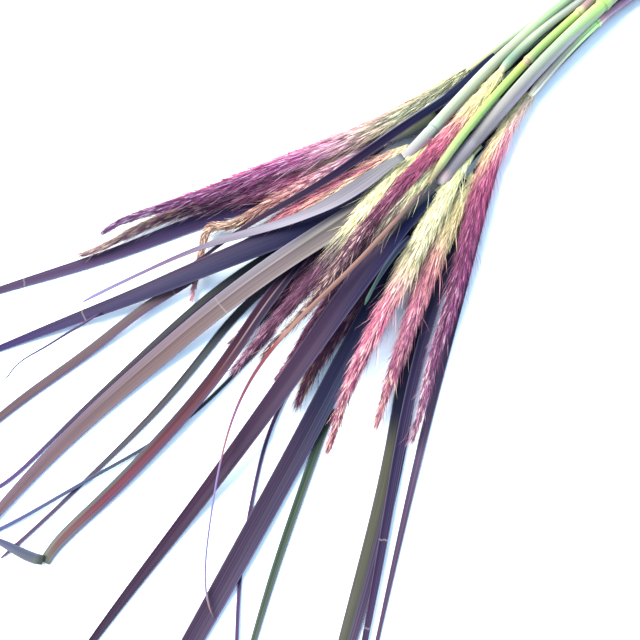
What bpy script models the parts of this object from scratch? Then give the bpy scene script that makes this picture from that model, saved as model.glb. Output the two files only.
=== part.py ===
# Dried purple fountain grass: one loose bunch lying on a table.
# The cut stems point along +Y, and the plumes and leaf blades fan out towards -Y.
# Every stem, plume and blade is an object of its own. They are laid down one after another,
# from the table upwards, and each rests on whatever already lies under it.
# Lengths in this file are millimetres, and MM turns them into metres.
import math
import random
from collections import namedtuple

import bpy
import bmesh
import numpy as np
from mathutils import Vector

MM = 0.001

# The middle of the bunch in the routes' own coordinates: it goes to x = y = 0.
CENTRE = np.array((-9.95, 68.95))

# How the pieces lie on the table and on each other.
REST_GAP = 0.35         # air left between a piece and the one it lies on
STEM_DROOP = 0.0009     # fall below the tangent, per square of the distance from a support
BLADE_DROOP = 0.0012
CELL = 0.5              # cell of the height map that the pieces are laid on
TABLE_X = (-240, 240)   # reach of the height map
TABLE_Y = (-330, 430)
SAMPLE = 0.3            # distance between the samples of a piece as it is laid
CURVE_SAMPLES = 60      # samples of a route's curve between two of its points

# Leaf blades.
BLADE_THICK = 0.8
BLADE_PITCH = 25.0      # distance between two cross-sections
BLADE_TIP = 0.9         # half-width left at the very tip
BLADE_KEEL = 0.14       # rise of an edge over the midrib, per half-width
BLADE_ROOT = 0.5        # width at the root, against the full width
BLADE_OPENING = 0.16    # share of the length over which the root opens to the full width
EVEN_TAPER = (1.6, 1.0)     # how a blade narrows from its root on,
FULL_TAPER = (2.2, 0.8)     # or keeps its width past its middle,
LATE_TAPER = (5.0, 0.9)     # or almost to its end

# Stems.
STEM_PITCH = 36.0
STEM_TAPER = 0.85       # radius at the upper end, against the cut end
THIN_CULM = 1.6         # radius of the bare culms that lie hidden at the neck
NODE_SWELL = 1.22       # a joint ring, against the bare stem beside it
NODE_LENGTH = 5.0
NODE_REACH = 7.5        # where the swelling has faded, on either side of a joint

# Plumes: a slim core whose whole surface is drawn out into forward-leaning bristles.
PLUME_SIDES = 7
PLUME_PITCH = 7.5
PLUME_CORE = (4.0, 2.3)     # half-width and half-height of the core
PLUME_SWELL = 0.35          # share of the length over which the plume fills out
PLUME_CLOSE = 0.3           # share of the length over which it closes to its tip
PLUME_END = 0.12            # fullness left at the tip
PLUME_SLIMMEST = 0.9        # least half-width of the core
BRISTLE_OUT = (0.5, 0.8)    # how far a tip stands out, in core half-widths
BRISTLE_LEAN = (8.0, 13.0)  # how far forward a tip leans
PLUME_GAP = 0.3             # air between the stem's end and the plume's base
RING_TWIST = math.radians(13)

# Colour and roughness of each surface.
SURFACES = {
    "sheath_sage": ((0.30, 0.42, 0.30), 0.6),
    "sheath_lilac": ((0.36, 0.33, 0.37), 0.6),
    "culm_lime": ((0.45, 0.85, 0.20), 0.6),
    "culm_straw": ((0.60, 0.62, 0.30), 0.6),
    "plume_burgundy": ((0.32, 0.06, 0.16), 0.8),
    "plume_rose": ((0.72, 0.32, 0.36), 0.8),
    "plume_plum": ((0.12, 0.03, 0.08), 0.8),
    "blade_purple": ((0.09, 0.05, 0.13), 0.6),
    "blade_navy": ((0.03, 0.02, 0.09), 0.6),
    "blade_mauve": ((0.24, 0.17, 0.19), 0.6),
    "blade_silver": ((0.48, 0.44, 0.50), 0.6),
    "blade_olive": ((0.11, 0.13, 0.09), 0.6),
    "blade_maroon": ((0.20, 0.05, 0.08), 0.6),
    "blade_tan": ((0.68, 0.36, 0.25), 0.6),
    "blade_green": ((0.02, 0.11, 0.08), 0.6),
}

Shape = namedtuple("Shape", "points sides low high")


def clear_scene():
    for item in list(bpy.data.objects):
        bpy.data.objects.remove(item, do_unlink=True)


def material(name, colour, roughness):
    surface = bpy.data.materials.get(name) or bpy.data.materials.new(name)
    surface.use_nodes = True
    shader = surface.node_tree.nodes["Principled BSDF"]
    shader.inputs["Base Color"].default_value = (*colour, 1.0)
    shader.inputs["Roughness"].default_value = roughness
    shader.inputs["Metallic"].default_value = 0.0


def spline_through(route, pitch):
    """Even stations along a smooth curve through the route's points."""
    points = [np.array(p, float) for p in route]
    points = [2 * points[0] - points[1]] + points + [2 * points[-1] - points[-2]]
    dense = []
    for a, b, c, d in zip(points, points[1:], points[2:], points[3:]):
        for t in np.linspace(0, 1, CURVE_SAMPLES, endpoint=False):
            dense.append(0.5 * (2 * b + (c - a) * t + (2 * a - 5 * b + 4 * c - d) * t * t
                                + (3 * b - a - 3 * c + d) * t ** 3))
    dense.append(points[-2])
    dense = np.array(dense)
    steps = np.linalg.norm(np.diff(dense, axis=0), axis=1)
    along = np.concatenate(([0], np.cumsum(steps)))
    count = max(3, round(along[-1] / pitch))
    stations = np.linspace(0, along[-1], count + 1)
    return np.stack([np.interp(stations, along, dense[:, i]) for i in (0, 1)], axis=1), stations


def sideways(points):
    """Unit vectors to the left of the route, seen from above."""
    ahead = np.gradient(points, axis=0)
    ahead /= np.linalg.norm(ahead, axis=1)[:, None]
    return np.stack((-ahead[:, 1], ahead[:, 0]), axis=1)


class Table:
    """The height of whatever lies highest over each cell of the table."""

    def __init__(self):
        across = int((TABLE_X[1] - TABLE_X[0]) / CELL)
        along = int((TABLE_Y[1] - TABLE_Y[0]) / CELL)
        self.height = np.zeros((across, along))

    def cells(self, spots):
        column = ((spots[..., 0] - TABLE_X[0]) / CELL).astype(int)
        row = ((spots[..., 1] - TABLE_Y[0]) / CELL).astype(int)
        return column, row

    def cover(self, mesh):
        """Raises the map to the top of a finished mesh of triangles."""
        for face in mesh.faces:
            corners = [np.array(vert.co) / MM for vert in face.verts]
            one, two = corners[1] - corners[0], corners[2] - corners[0]
            count = int(max(np.linalg.norm(one), np.linalg.norm(two)) / SAMPLE) + 2
            u, v = np.meshgrid(np.linspace(0, 1, count), np.linspace(0, 1, count))
            inside = u + v <= 1
            spots = corners[0] + u[inside][:, None] * one + v[inside][:, None] * two
            np.maximum.at(self.height, self.cells(spots[:, :2] + CENTRE), spots[:, 2])

    def lay(self, shape, droop, covered=None):
        """Heights of the shape's stations once it rests on what already lies there.

        Only its first covered stations raise the map, or all of them.
        """
        steps = np.linalg.norm(np.diff(shape.points, axis=0), axis=1)
        along = np.concatenate(([0], np.cumsum(steps)))
        fine = np.linspace(0, along[-1], int(along[-1] / SAMPLE) + 2)

        def between(values):
            columns = [np.interp(fine, along, values[:, i]) for i in range(values.shape[1])]
            return np.stack(columns, axis=1)

        centre = between(shape.points)
        side = between(shape.sides)
        low = between(shape.low)
        high = between(shape.high)
        reach = np.linspace(-1, 1, shape.low.shape[1])
        spots = centre[:, None, :] + reach[None, :, None] * side[:, None, :]
        column, row = self.cells(spots)
        under = self.height[column, row]
        need = np.max(under + np.where(under > 0, REST_GAP, 0.0) - low, axis=1)
        gap = fine[:, None] - fine[None, :]
        draped = np.max(need[None, :] - droop * gap * gap, axis=1)
        heights = np.interp(along, fine, draped)
        for k in range(len(along) - 1):
            inside = (fine >= along[k]) & (fine <= along[k + 1])
            line = np.interp(fine[inside], along[k:k + 2], heights[k:k + 2])
            lift = max(0.0, float(np.max(need[inside] - line)))
            heights[k] += lift
            heights[k + 1] += lift
        top = np.interp(fine, along, heights)[:, None] + high
        solid = fine <= along[covered - 1 if covered else -1]
        np.maximum.at(self.height, (column[solid], row[solid]), top[solid])
        return heights


TABLE = Table()


def place(x, y, z):
    return Vector(((x - CENTRE[0]) * MM, (y - CENTRE[1]) * MM, z * MM))


def add_object(name, data, surface):
    data.materials.append(bpy.data.materials[surface])
    item = bpy.data.objects.new(name, data)
    bpy.context.scene.collection.objects.link(item)
    return item


def round_shape(points, half_width, half_height):
    count = 2 * int(max(half_width) / SAMPLE) + 3
    arc = np.sqrt(np.clip(1 - np.linspace(-1, 1, count) ** 2, 0, 1))
    rise = half_height[:, None] * arc[None, :]
    return Shape(points, sideways(points) * half_width[:, None], -rise, rise)


# Leaf blades.
def blade_widths(length, stations, width, root, taper):
    t = stations / length
    opening = root + (1 - root) * np.clip(t / BLADE_OPENING, 0, 1) ** 0.8
    narrowing = np.clip(1 - t ** taper[0], 0, 1) ** taper[1]
    return np.maximum(0.5 * width * opening * narrowing, BLADE_TIP)


def blade(name, route, width, surface, taper=FULL_TAPER, keel=BLADE_KEEL, root=BLADE_ROOT):
    """A thin ribbon along the route, bent up on both sides of its midrib."""
    points, stations = spline_through(route, BLADE_PITCH)
    half = blade_widths(stations[-1], stations, width, root, taper)
    reach = np.linspace(-1, 1, 2 * int(max(half) / SAMPLE) + 3)
    bend = half[:, None] * keel * np.abs(reach)[None, :]
    thick = 0.5 * BLADE_THICK * math.sqrt(1 + keel ** 2)
    shape = Shape(points, sideways(points) * half[:, None], bend - thick, bend + thick)
    heights = TABLE.lay(shape, BLADE_DROOP)
    mesh = bmesh.new()
    bmesh.ops.create_grid(mesh, x_segments=2, y_segments=len(stations) - 1, size=1)
    for vert in mesh.verts:
        u = vert.co.x
        k = round((vert.co.y + 1) / 2 * (len(stations) - 1))
        spot = points[k] + u * shape.sides[k]
        vert.co = place(*spot, heights[k] + half[k] * keel * abs(u))
    bmesh.ops.triangulate(mesh, faces=mesh.faces)
    bmesh.ops.recalc_face_normals(mesh, faces=mesh.faces)
    data = bpy.data.meshes.new(name)
    mesh.to_mesh(data)
    mesh.free()
    item = add_object(name, data, surface)
    solid = item.modifiers.new("thickness", "SOLIDIFY")
    solid.thickness = BLADE_THICK * MM
    solid.offset = 0.0


# Stems and their plumes.
def plume_size(t):
    """How full the plume is along its length, 1 at its fullest."""
    swell = np.clip(t / PLUME_SWELL, 0.02, 1) ** 0.6
    close = np.clip((1 - t) / PLUME_CLOSE, 0, 1) ** 0.6
    return swell * (PLUME_END + (1 - PLUME_END) * close)


def bristle_reach(core):
    """How far out the bristles get. Those of the two rings behind lean past each ring."""
    behind = [np.concatenate((np.full(n, core[0]), core[:len(core) - n])) for n in (0, 1, 2)]
    return np.max(behind, axis=0) * (1 + BRISTLE_OUT[1])


def along_route(spots, k):
    """The place at ring k, which may be a fraction or lie past the last ring."""
    whole = min(int(k), len(spots) - 2)
    return spots[whole].lerp(spots[whole + 1], k - whole)


def plume_mesh(name, points, heights, half, depth, seed):
    draw = random.Random(seed)
    spots = [place(*p, z) for p, z in zip(points, heights)]
    left = sideways(points)
    mesh = bmesh.new()
    rings = []
    for k, spot in enumerate(spots):
        ahead = spots[min(k + 1, len(spots) - 1)] - spots[max(k - 1, 0)]
        ahead.normalize()
        side = Vector((*left[k], 0))
        up = ahead.cross(side) * -1
        if up.z < 0:
            up.negate()
        ring = []
        for i in range(PLUME_SIDES):
            turn = 2 * math.pi * i / PLUME_SIDES + k * RING_TWIST
            offset = side * (math.cos(turn) * half[k]) + up * (math.sin(turn) * depth[k])
            ring.append(mesh.verts.new(spot + offset * MM))
        rings.append(ring)
    mesh.faces.new(rings[0])
    mesh.faces.new(reversed(rings[-1]))
    for k in range(len(rings) - 1):
        middle = along_route(spots, k + 0.5)
        for i in range(PLUME_SIDES):
            j = (i + 1) % PLUME_SIDES
            face = mesh.faces.new((rings[k][j], rings[k][i], rings[k + 1][i], rings[k + 1][j]))
            outward = face.calc_center_median() - middle
            tip = bmesh.ops.poke(mesh, faces=[face])["verts"][0]
            out = draw.uniform(*BRISTLE_OUT)
            lean = draw.uniform(*BRISTLE_LEAN) * min(1.0, half[k] / PLUME_CORE[0] + 0.25)
            tip.co = along_route(spots, k + 0.5 + lean / PLUME_PITCH) + outward * (1 + out)
    bmesh.ops.triangulate(mesh, faces=[f for f in mesh.faces if len(f.verts) > 3])
    bmesh.ops.recalc_face_normals(mesh, faces=mesh.faces)
    TABLE.cover(mesh)
    data = bpy.data.meshes.new(name)
    mesh.to_mesh(data)
    mesh.free()
    return data


def stem_curve(name, points, heights, radii, surface):
    data = bpy.data.curves.new(name, "CURVE")
    data.dimensions = "3D"
    data.bevel_depth = MM
    data.bevel_resolution = 2
    data.use_fill_caps = True
    line = data.splines.new("POLY")
    line.points.add(len(points) - 1)
    for point, spot, z, radius in zip(line.points, points, heights, radii):
        point.co = (*place(*spot, z), 1.0)
        point.radius = radius
    add_object(name, data, surface)


def stem_stations(length, joints):
    """Even stations, with four more round each joint ring."""
    marks = list(np.linspace(0, length, max(3, round(length / STEM_PITCH)) + 1))
    for joint in joints:
        marks = [m for m in marks if abs(m - joint) > 2 * NODE_REACH or m in (0, length)]
        for away in (NODE_LENGTH / 2, NODE_REACH):
            marks += [joint - away, joint + away]
    return np.array(sorted(marks))


def culm(name, route, radius, surface, split=None, plume=None, joints=(), taper=STEM_TAPER,
         fullness=1.0, seed=0):
    """A stem, and from the distance split onwards the plume at its end."""
    dense, along = spline_through(route, 1.0)
    length = along[-1]
    split = split or length
    marks = stem_stations(split, joints)
    radii = radius * np.interp(marks, (0, split), (1, taper))
    for joint in joints:
        radii[np.abs(marks - joint) < NODE_LENGTH] *= NODE_SWELL
    stem_end = len(marks)
    half = radii
    depth = radii
    if plume:
        base = split + PLUME_GAP
        count = round((length - base) / PLUME_PITCH)
        ring_marks = np.linspace(base, length, count + 1)
        size = plume_size(np.linspace(0, 1, count + 1)) * fullness
        core = np.maximum(size * PLUME_CORE[0], PLUME_SLIMMEST)
        core_depth = np.maximum(size * PLUME_CORE[1], PLUME_SLIMMEST)
        half = np.concatenate((half, bristle_reach(core)))
        depth = np.concatenate((depth, bristle_reach(core_depth)))
        marks = np.concatenate((marks, ring_marks))
    points = np.stack([np.interp(marks, along, dense[:, i]) for i in (0, 1)], axis=1)
    heights = TABLE.lay(round_shape(points, half, depth), STEM_DROOP, stem_end)
    stem_curve(name, points[:stem_end], heights[:stem_end], radii, surface)
    if plume:
        plume_name, plume_surface = plume
        data = plume_mesh(plume_name, points[stem_end:], heights[stem_end:], core, core_depth, seed)
        add_object(plume_name, data, plume_surface)


def lowest_blades():
    """Flat on the table."""
    blade("blade_taupe", [(34, 90), (39, 48), (51, 19), (63, -7), (81, -40), (93, -64), (102, -85),
                          (108, -101), (115, -117), (134, -165), (141, -184)],
          8.5, "blade_olive", taper=LATE_TAPER)
    blade("blade_plum_right", [(22, 110), (35, 68), (51, 27), (66, -5), (77, -27), (90, -52),
                               (97, -64), (109, -89), (121, -112), (146, -160)], 6.5, "blade_purple")
    blade("blade_purple_right", [(9, 170), (9, 168), (16, 142), (29, 109), (49, 64), (59, 41),
                                 (75, 2), (85, -22), (96, -42), (106, -64), (114, -84),
                                 (126, -108), (150, -158)], 7.0, "blade_purple", taper=EVEN_TAPER)
    blade("blade_olive_right", [(39, -34), (41, -43), (43, -51), (51, -72), (58, -91), (65, -108),
                                (72, -126), (81, -145), (103, -196)], 4.5, "blade_olive")
    blade("blade_thread_dark", [(9, -27), (15, -47), (22, -71), (34, -92), (42, -106), (56, -127),
                                (65, -138), (75, -150), (104, -187)], 2.0, "blade_navy")
    blade("blade_grey_left", [(-33, 12), (-35, -8), (-38, -23), (-35, -47), (-34, -63), (-34, -82),
                              (-32, -100), (-33, -119), (-34, -130), (-35, -155), (-37, -173),
                              (-37, -189), (-39, -197)], 5.0, "blade_olive", taper=EVEN_TAPER)
    blade("blade_teal_left", [(-15, -20), (-14, -41), (-15, -51), (-16, -65), (-17, -90),
                              (-24, -113), (-28, -126), (-33, -143), (-38, -157), (-44, -175),
                              (-50, -188), (-61, -216)], 2.0, "blade_green")
    blade("blade_purple_left", [(-40, 138), (-47, 105), (-65, 50), (-88, 11), (-100, -15),
                                (-105, -26), (-124, -63), (-148, -101), (-152, -112), (-170, -140)],
          8.5, "blade_purple")


def lowest_plumes():
    """Bare culms side by side on the table, with the plumes and blades that lie lowest."""
    culm("stem_tan_left", [(-16, 398), (-15.5, 300), (-21.5, 215), (-48, 114), (-55, 89),
                           (-64, 67), (-87, 24), (-106, -8), (-118, -36), (-127, -58)],
         THIN_CULM, "culm_straw", 300, ("plume_tan_left", "plume_rose"), seed=2)
    culm("stem_bent", [(-12.3, 402), (-12, 300), (-17, 215), (-43, 111), (-50, 83), (-60, 53),
                       (-68, 29), (-74, 10), (-82, 5), (-84, 0), (-80, -8), (-74, -18), (-68, -26),
                       (-62, -37)],
         THIN_CULM, "culm_straw", 278, ("plume_bent", "plume_rose"), fullness=0.85, seed=3)
    culm("stem_salmon", [(-8.6, 398), (-8.3, 300), (-12.5, 215), (-30, 119), (-39, 93), (-47, 65),
                         (-58, 25), (-62, 8)],
         THIN_CULM, "culm_straw", 276, ("plume_salmon", "plume_rose"), seed=4)
    culm("stem_low_left", [(-4.8, 400), (-4.6, 300), (-8, 215), (-22, 120), (-28, 42), (-25, 4),
                           (-25, -25), (-27, -41)],
         THIN_CULM, "culm_straw", 335, ("plume_low_left", "plume_plum"), seed=11)
    culm("stem_low_right", [(6.6, 396), (6.6, 300), (3.6, 215), (4, 110), (10, 22), (13, -9),
                            (17, -29), (23, -44)],
         THIN_CULM, "culm_straw", 335, ("plume_low_right", "plume_plum"), seed=14)
    culm("stem_rose_right", [(10.4, 404), (10.4, 300), (7.4, 215), (9, 132), (13, 113), (21, 88),
                             (25, 73), (35, 42), (47, 10), (57, -17), (60, -27)],
         THIN_CULM, "culm_straw", 265, ("plume_rose_right", "plume_rose"), seed=9)
    blade("blade_brown_left", [(-68, -19), (-69, -30), (-71, -39), (-75, -50), (-78, -61),
                               (-81, -84), (-86, -106), (-89, -127), (-93, -149), (-96, -174),
                               (-105, -197)], 5.5, "blade_mauve", taper=LATE_TAPER)
    blade("blade_olive_left", [(-20, 72), (-31, 46), (-41, 22), (-46, 4), (-50, -5), (-53, -22),
                               (-55, -37), (-58, -53), (-58, -75), (-61, -92), (-62, -112),
                               (-63, -134), (-63, -161), (-67, -173), (-68, -182)],
          7.0, "blade_olive", taper=EVEN_TAPER)


def middle_of_the_pile():
    culm("stem_left", [(-13, 406), (-13, 310), (-20, 273), (-28, 236), (-34, 196), (-37, 171),
                       (-46, 130), (-56, 99), (-68, 72), (-87, 32), (-98, 11), (-107, -4),
                       (-125, -41)],
         2.6, "sheath_sage", 228, ("plume_magenta_left", "plume_burgundy"), joints=(70,), seed=1)
    blade("blade_olive_bract", [(-32, 147), (-35, 135), (-37, 126), (-39, 119), (-41, 111)],
          7.0, "blade_olive")
    blade("blade_plum_left", [(-30, 166), (-36, 143), (-41, 120), (-45, 96), (-49, 72), (-58, 48),
                              (-68, 15), (-69, 1), (-81, -34)], 5.0, "blade_purple")
    culm("stem_pale", [(-1, 403), (-0.9, 300), (-4.3, 215), (-21, 126), (-21, 111), (-21, 94),
                       (-20, 68), (-16, 41), (-16, 17), (-16, -5), (-14, -31), (-14, -54)],
         THIN_CULM, "culm_straw", 278, ("plume_pale_left", "plume_burgundy"), seed=5)
    culm("stem_straw", [(2.8, 400), (2.8, 300), (-0.4, 215), (-9, 127), (-7, 103), (-7, 86),
                        (-7, 70), (-4, 44), (-1, 15), (2, -9), (4, -24), (7, -41)],
         THIN_CULM, "culm_straw", 282, ("plume_straw_right", "plume_burgundy"), seed=7)
    blade("blade_maroon_left", [(-29, 28), (-29, 9), (-27, -5), (-26, -20), (-23, -40), (-20, -59),
                                (-19, -77), (-20, -107), (-20, -126), (-20, -142), (-21, -155),
                                (-23, -168), (-22, -181)],
          7.5, "blade_maroon", taper=LATE_TAPER)
    blade("blade_navy_left", [(-24, 112), (-26, 76), (-35, 50), (-44, 27), (-57, 3), (-69, -22),
                              (-79, -44), (-93, -71), (-98, -80), (-111, -102), (-123, -124),
                              (-128, -138), (-143, -166)], 9.5, "blade_navy", taper=EVEN_TAPER)
    blade("blade_hair_left", [(-93, -75), (-94, -80), (-96, -88), (-99, -99), (-101, -107),
                              (-104, -116), (-106, -123), (-106, -130), (-105, -136)],
          1.8, "blade_purple")
    blade("blade_mauve_left", [(-27, 98), (-20, 68), (-26, 44), (-32, 23), (-37, 1), (-42, -17),
                               (-46, -42), (-50, -64), (-54, -94), (-56, -121), (-58, -139),
                               (-57, -160), (-56, -182), (-56, -196), (-52, -228)],
          13.5, "blade_mauve")
    blade("blade_navy_right", [(8, 120), (6, 86), (14, 48), (26, -10), (29, -23), (33, -41),
                               (39, -60), (43, -88), (48, -114), (53, -130), (55, -146),
                               (59, -164), (70, -222), (77, -268)],
          12.0, "blade_navy", taper=LATE_TAPER)
    culm("stem_right", [(18, 400), (16, 310), (7, 292), (5, 267), (4, 229), (7, 192), (6, 171),
                        (10, 150), (22, 121), (37, 83), (54, 42), (65, 15), (75, -11), (80, -22)],
         3.0, "sheath_sage", 212, ("plume_right", "plume_burgundy"), joints=(120,), seed=10)
    culm("stem_centre", [(-6, 405), (-6, 300), (-10, 269), (-14, 233), (-18, 191), (-16, 153),
                         (-12, 134), (-12, 95), (-13, 65), (-9, 43), (-6, 16), (-4, -11), (-6, -38)],
         3.2, "sheath_sage", 215, ("plume_centre", "plume_burgundy"), seed=6)
    culm("stem_lilac", [(7, 402), (5, 310), (3, 278), (1, 230), (-1, 190), (-2, 152), (0, 127),
                        (0, 108)],
         3.7, "sheath_lilac", taper=0.8)
    culm("culm_pink", [(3, 143), (5, 126), (5, 112), (9, 98), (15, 68), (19, 53), (26, 28),
                       (32, 0), (39, -24), (51, -54)],
         THIN_CULM, "culm_lime", 9, ("plume_pink", "plume_rose"), seed=8)
    culm("stem_lime", [(1, 399), (-1, 310), (-5, 274), (-7, 262), (-11, 215), (-11, 163),
                       (-8, 127), (-5, 105)],
         2.7, "culm_lime", joints=(126, 190), taper=0.6)


def top_of_the_pile():
    culm("stem_sheath", [(-9, 401), (-8, 310), (-11, 266), (-17, 223), (-24, 180), (-23, 130),
                         (-23, 98)], 3.6, "sheath_sage", joints=(268,))
    blade("blade_silver", [(-22, 99), (-29, 71), (-34, 53), (-40, 40), (-50, 25), (-62, 11),
                           (-77, -12), (-93, -45), (-107, -76)], 10.5, "blade_silver", taper=EVEN_TAPER)
    blade("blade_plum_centre", [(3, 98), (3, 70), (5, 43), (7, 16), (10, -10), (11, -29),
                                (14, -53), (16, -80), (17, -104), (18, -127), (19, -152),
                                (21, -175), (23, -194), (25, -218), (30, -256)],
          13.0, "blade_purple")
    # The maroon blade's end, folded back over itself.
    blade("blade_maroon_tip", [(-22, -184), (-28, -188), (-37, -190), (-44, -192), (-53, -195)],
          5.0, "blade_green", keel=0.05, root=0.9)
    blade("blade_green_tip", [(11, 63), (12, 44), (18, 15)], 4.0, "blade_green")
    blade("blade_tan_thread", [(-1, 97), (-2, 83), (0, 63), (-1, 48), (-1, 28), (-1, 18), (-3, -3),
                               (-3, -24), (-2, -39), (-2, -48), (-1, -60), (8, -81), (14, -92),
                               (21, -104), (29, -119), (40, -134), (51, -144), (59, -150)],
          3.4, "blade_tan", taper=EVEN_TAPER)


clear_scene()
for surface_name, (colour, roughness) in SURFACES.items():
    material(surface_name, colour, roughness)
lowest_blades()
lowest_plumes()
middle_of_the_pile()
top_of_the_pile()
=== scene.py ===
import math

import bmesh
import bpy
import numpy
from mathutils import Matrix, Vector, noise
from mathutils.bvhtree import BVHTree


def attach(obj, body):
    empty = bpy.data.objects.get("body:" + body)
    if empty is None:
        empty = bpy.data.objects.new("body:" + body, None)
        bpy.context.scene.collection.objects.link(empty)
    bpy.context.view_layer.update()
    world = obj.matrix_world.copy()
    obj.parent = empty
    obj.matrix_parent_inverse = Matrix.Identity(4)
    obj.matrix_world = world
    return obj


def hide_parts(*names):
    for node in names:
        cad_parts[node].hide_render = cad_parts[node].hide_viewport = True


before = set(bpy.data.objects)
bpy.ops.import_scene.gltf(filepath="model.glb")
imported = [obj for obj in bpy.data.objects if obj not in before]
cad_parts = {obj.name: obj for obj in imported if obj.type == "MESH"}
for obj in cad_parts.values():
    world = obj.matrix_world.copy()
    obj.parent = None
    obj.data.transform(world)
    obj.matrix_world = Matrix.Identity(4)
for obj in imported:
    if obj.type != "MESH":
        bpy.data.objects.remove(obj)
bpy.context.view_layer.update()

print("frame loaded,", len(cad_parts), "solids")

# Dried purple fountain grass, a loose bunch lying flat: stems towards +Y, leaf tips towards -Y.
# Routes are plan views in millimetres, root to tip. Heights come from the solids below them.
# Colours are red, green and blue in hundredths, as they look in this light. A stop is
# (place, red, green, blue), its place also in hundredths. A leaf's band is its place along the
# leaf and its stops across it, from the edge at the camera's upper left to the lower right one.

table = {"mm": 0.001, "middle": (-9.95, 68.95), "far": 0.1, "near": 0.005, "gap": 0.0003}

light = {
    "key": 10.5,                      # from the upper left
    "keyColour": (0.92, 1.0, 0.95),
    "keySize": 48,                    # degrees across, so that shadows are soft
    "keyFrom": (-0.88, 0.26, 0.80),   # right, up in the picture, and above the floor
    "sky": (0.80, 1.15, 1.62),        # what fills the shadows with pale blue
    "gain": (2.82, 3.35, 3.70),       # light that falls on a flat leaf, over its own colour
    "brightest": 0.95,
}

view = {"aim": (0.00995, -0.06895, 0.0), "turn": 40, "height": 68, "away": 0.440,
        "lens": 45, "sensor": 36, "nearest": 0.01}


def directionOf(turn, height):
    a = math.radians(turn)
    e = math.radians(height)
    return Vector((math.sin(a) * math.cos(e), -math.cos(a) * math.cos(e), math.sin(e)))


def makeCamera():
    lens = bpy.data.cameras.new("camera")
    lens.lens = view["lens"]
    lens.sensor_width = view["sensor"]
    lens.clip_start = view["nearest"]
    camera = bpy.data.objects.new("camera", lens)
    back = directionOf(view["turn"], view["height"])
    camera.location = Vector(view["aim"]) + back * view["away"]
    camera.rotation_mode = "QUATERNION"
    camera.rotation_quaternion = (-back).to_track_quat("-Z", "Y")
    bpy.context.scene.collection.objects.link(camera)
    bpy.context.scene.camera = camera


def makeLight():
    turn = math.radians(view["turn"])
    right = Vector((math.cos(turn), math.sin(turn), 0))
    ahead = Vector((-math.sin(turn), math.cos(turn), 0))
    x, y, z = light["keyFrom"]
    towards = right * x + ahead * y + Vector((0, 0, z))
    sun = bpy.data.lights.new("key", "SUN")
    sun.energy = light["key"]
    sun.color = light["keyColour"]
    sun.angle = math.radians(light["keySize"])
    lamp = bpy.data.objects.new("key", sun)
    lamp.rotation_mode = "QUATERNION"
    lamp.rotation_quaternion = towards.to_track_quat("Z", "Y")
    bpy.context.scene.collection.objects.link(lamp)
    sky = bpy.data.worlds.new("sky")
    bpy.context.scene.world = sky
    sky.use_nodes = True
    sky.node_tree.nodes["Background"].inputs["Color"].default_value = (*light["sky"], 1)
    bpy.context.scene.view_settings.view_transform = "Standard"


makeCamera()
makeLight()
print("camera and lights placed")


class Wire:
    # a node's output; sums on it add Math nodes
    def __init__(self, finish, socket):
        self.finish = finish
        self.socket = socket

    def maths(self, operation, *values):
        return self.finish.node("Math", {"operation": operation}, dict(enumerate(values)))

    def __add__(self, other):
        return self.maths("ADD", self, other)

    def __sub__(self, other):
        return self.maths("SUBTRACT", self, other)

    def __mul__(self, other):
        return self.maths("MULTIPLY", self, other)

    def __radd__(self, other):
        return self.maths("ADD", other, self)

    def __rsub__(self, other):
        return self.maths("SUBTRACT", other, self)

    def __rmul__(self, other):
        return self.maths("MULTIPLY", other, self)

    def __abs__(self):
        return self.maths("ABSOLUTE", self)

    def rising(self, low, high):
        # 0 up to low, 1 from high on
        settings = {"interpolation_type": "SMOOTHSTEP"}
        inputs = {"Value": self, "From Min": low, "From Max": high}
        return self.finish.node("MapRange", settings, inputs)


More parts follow.
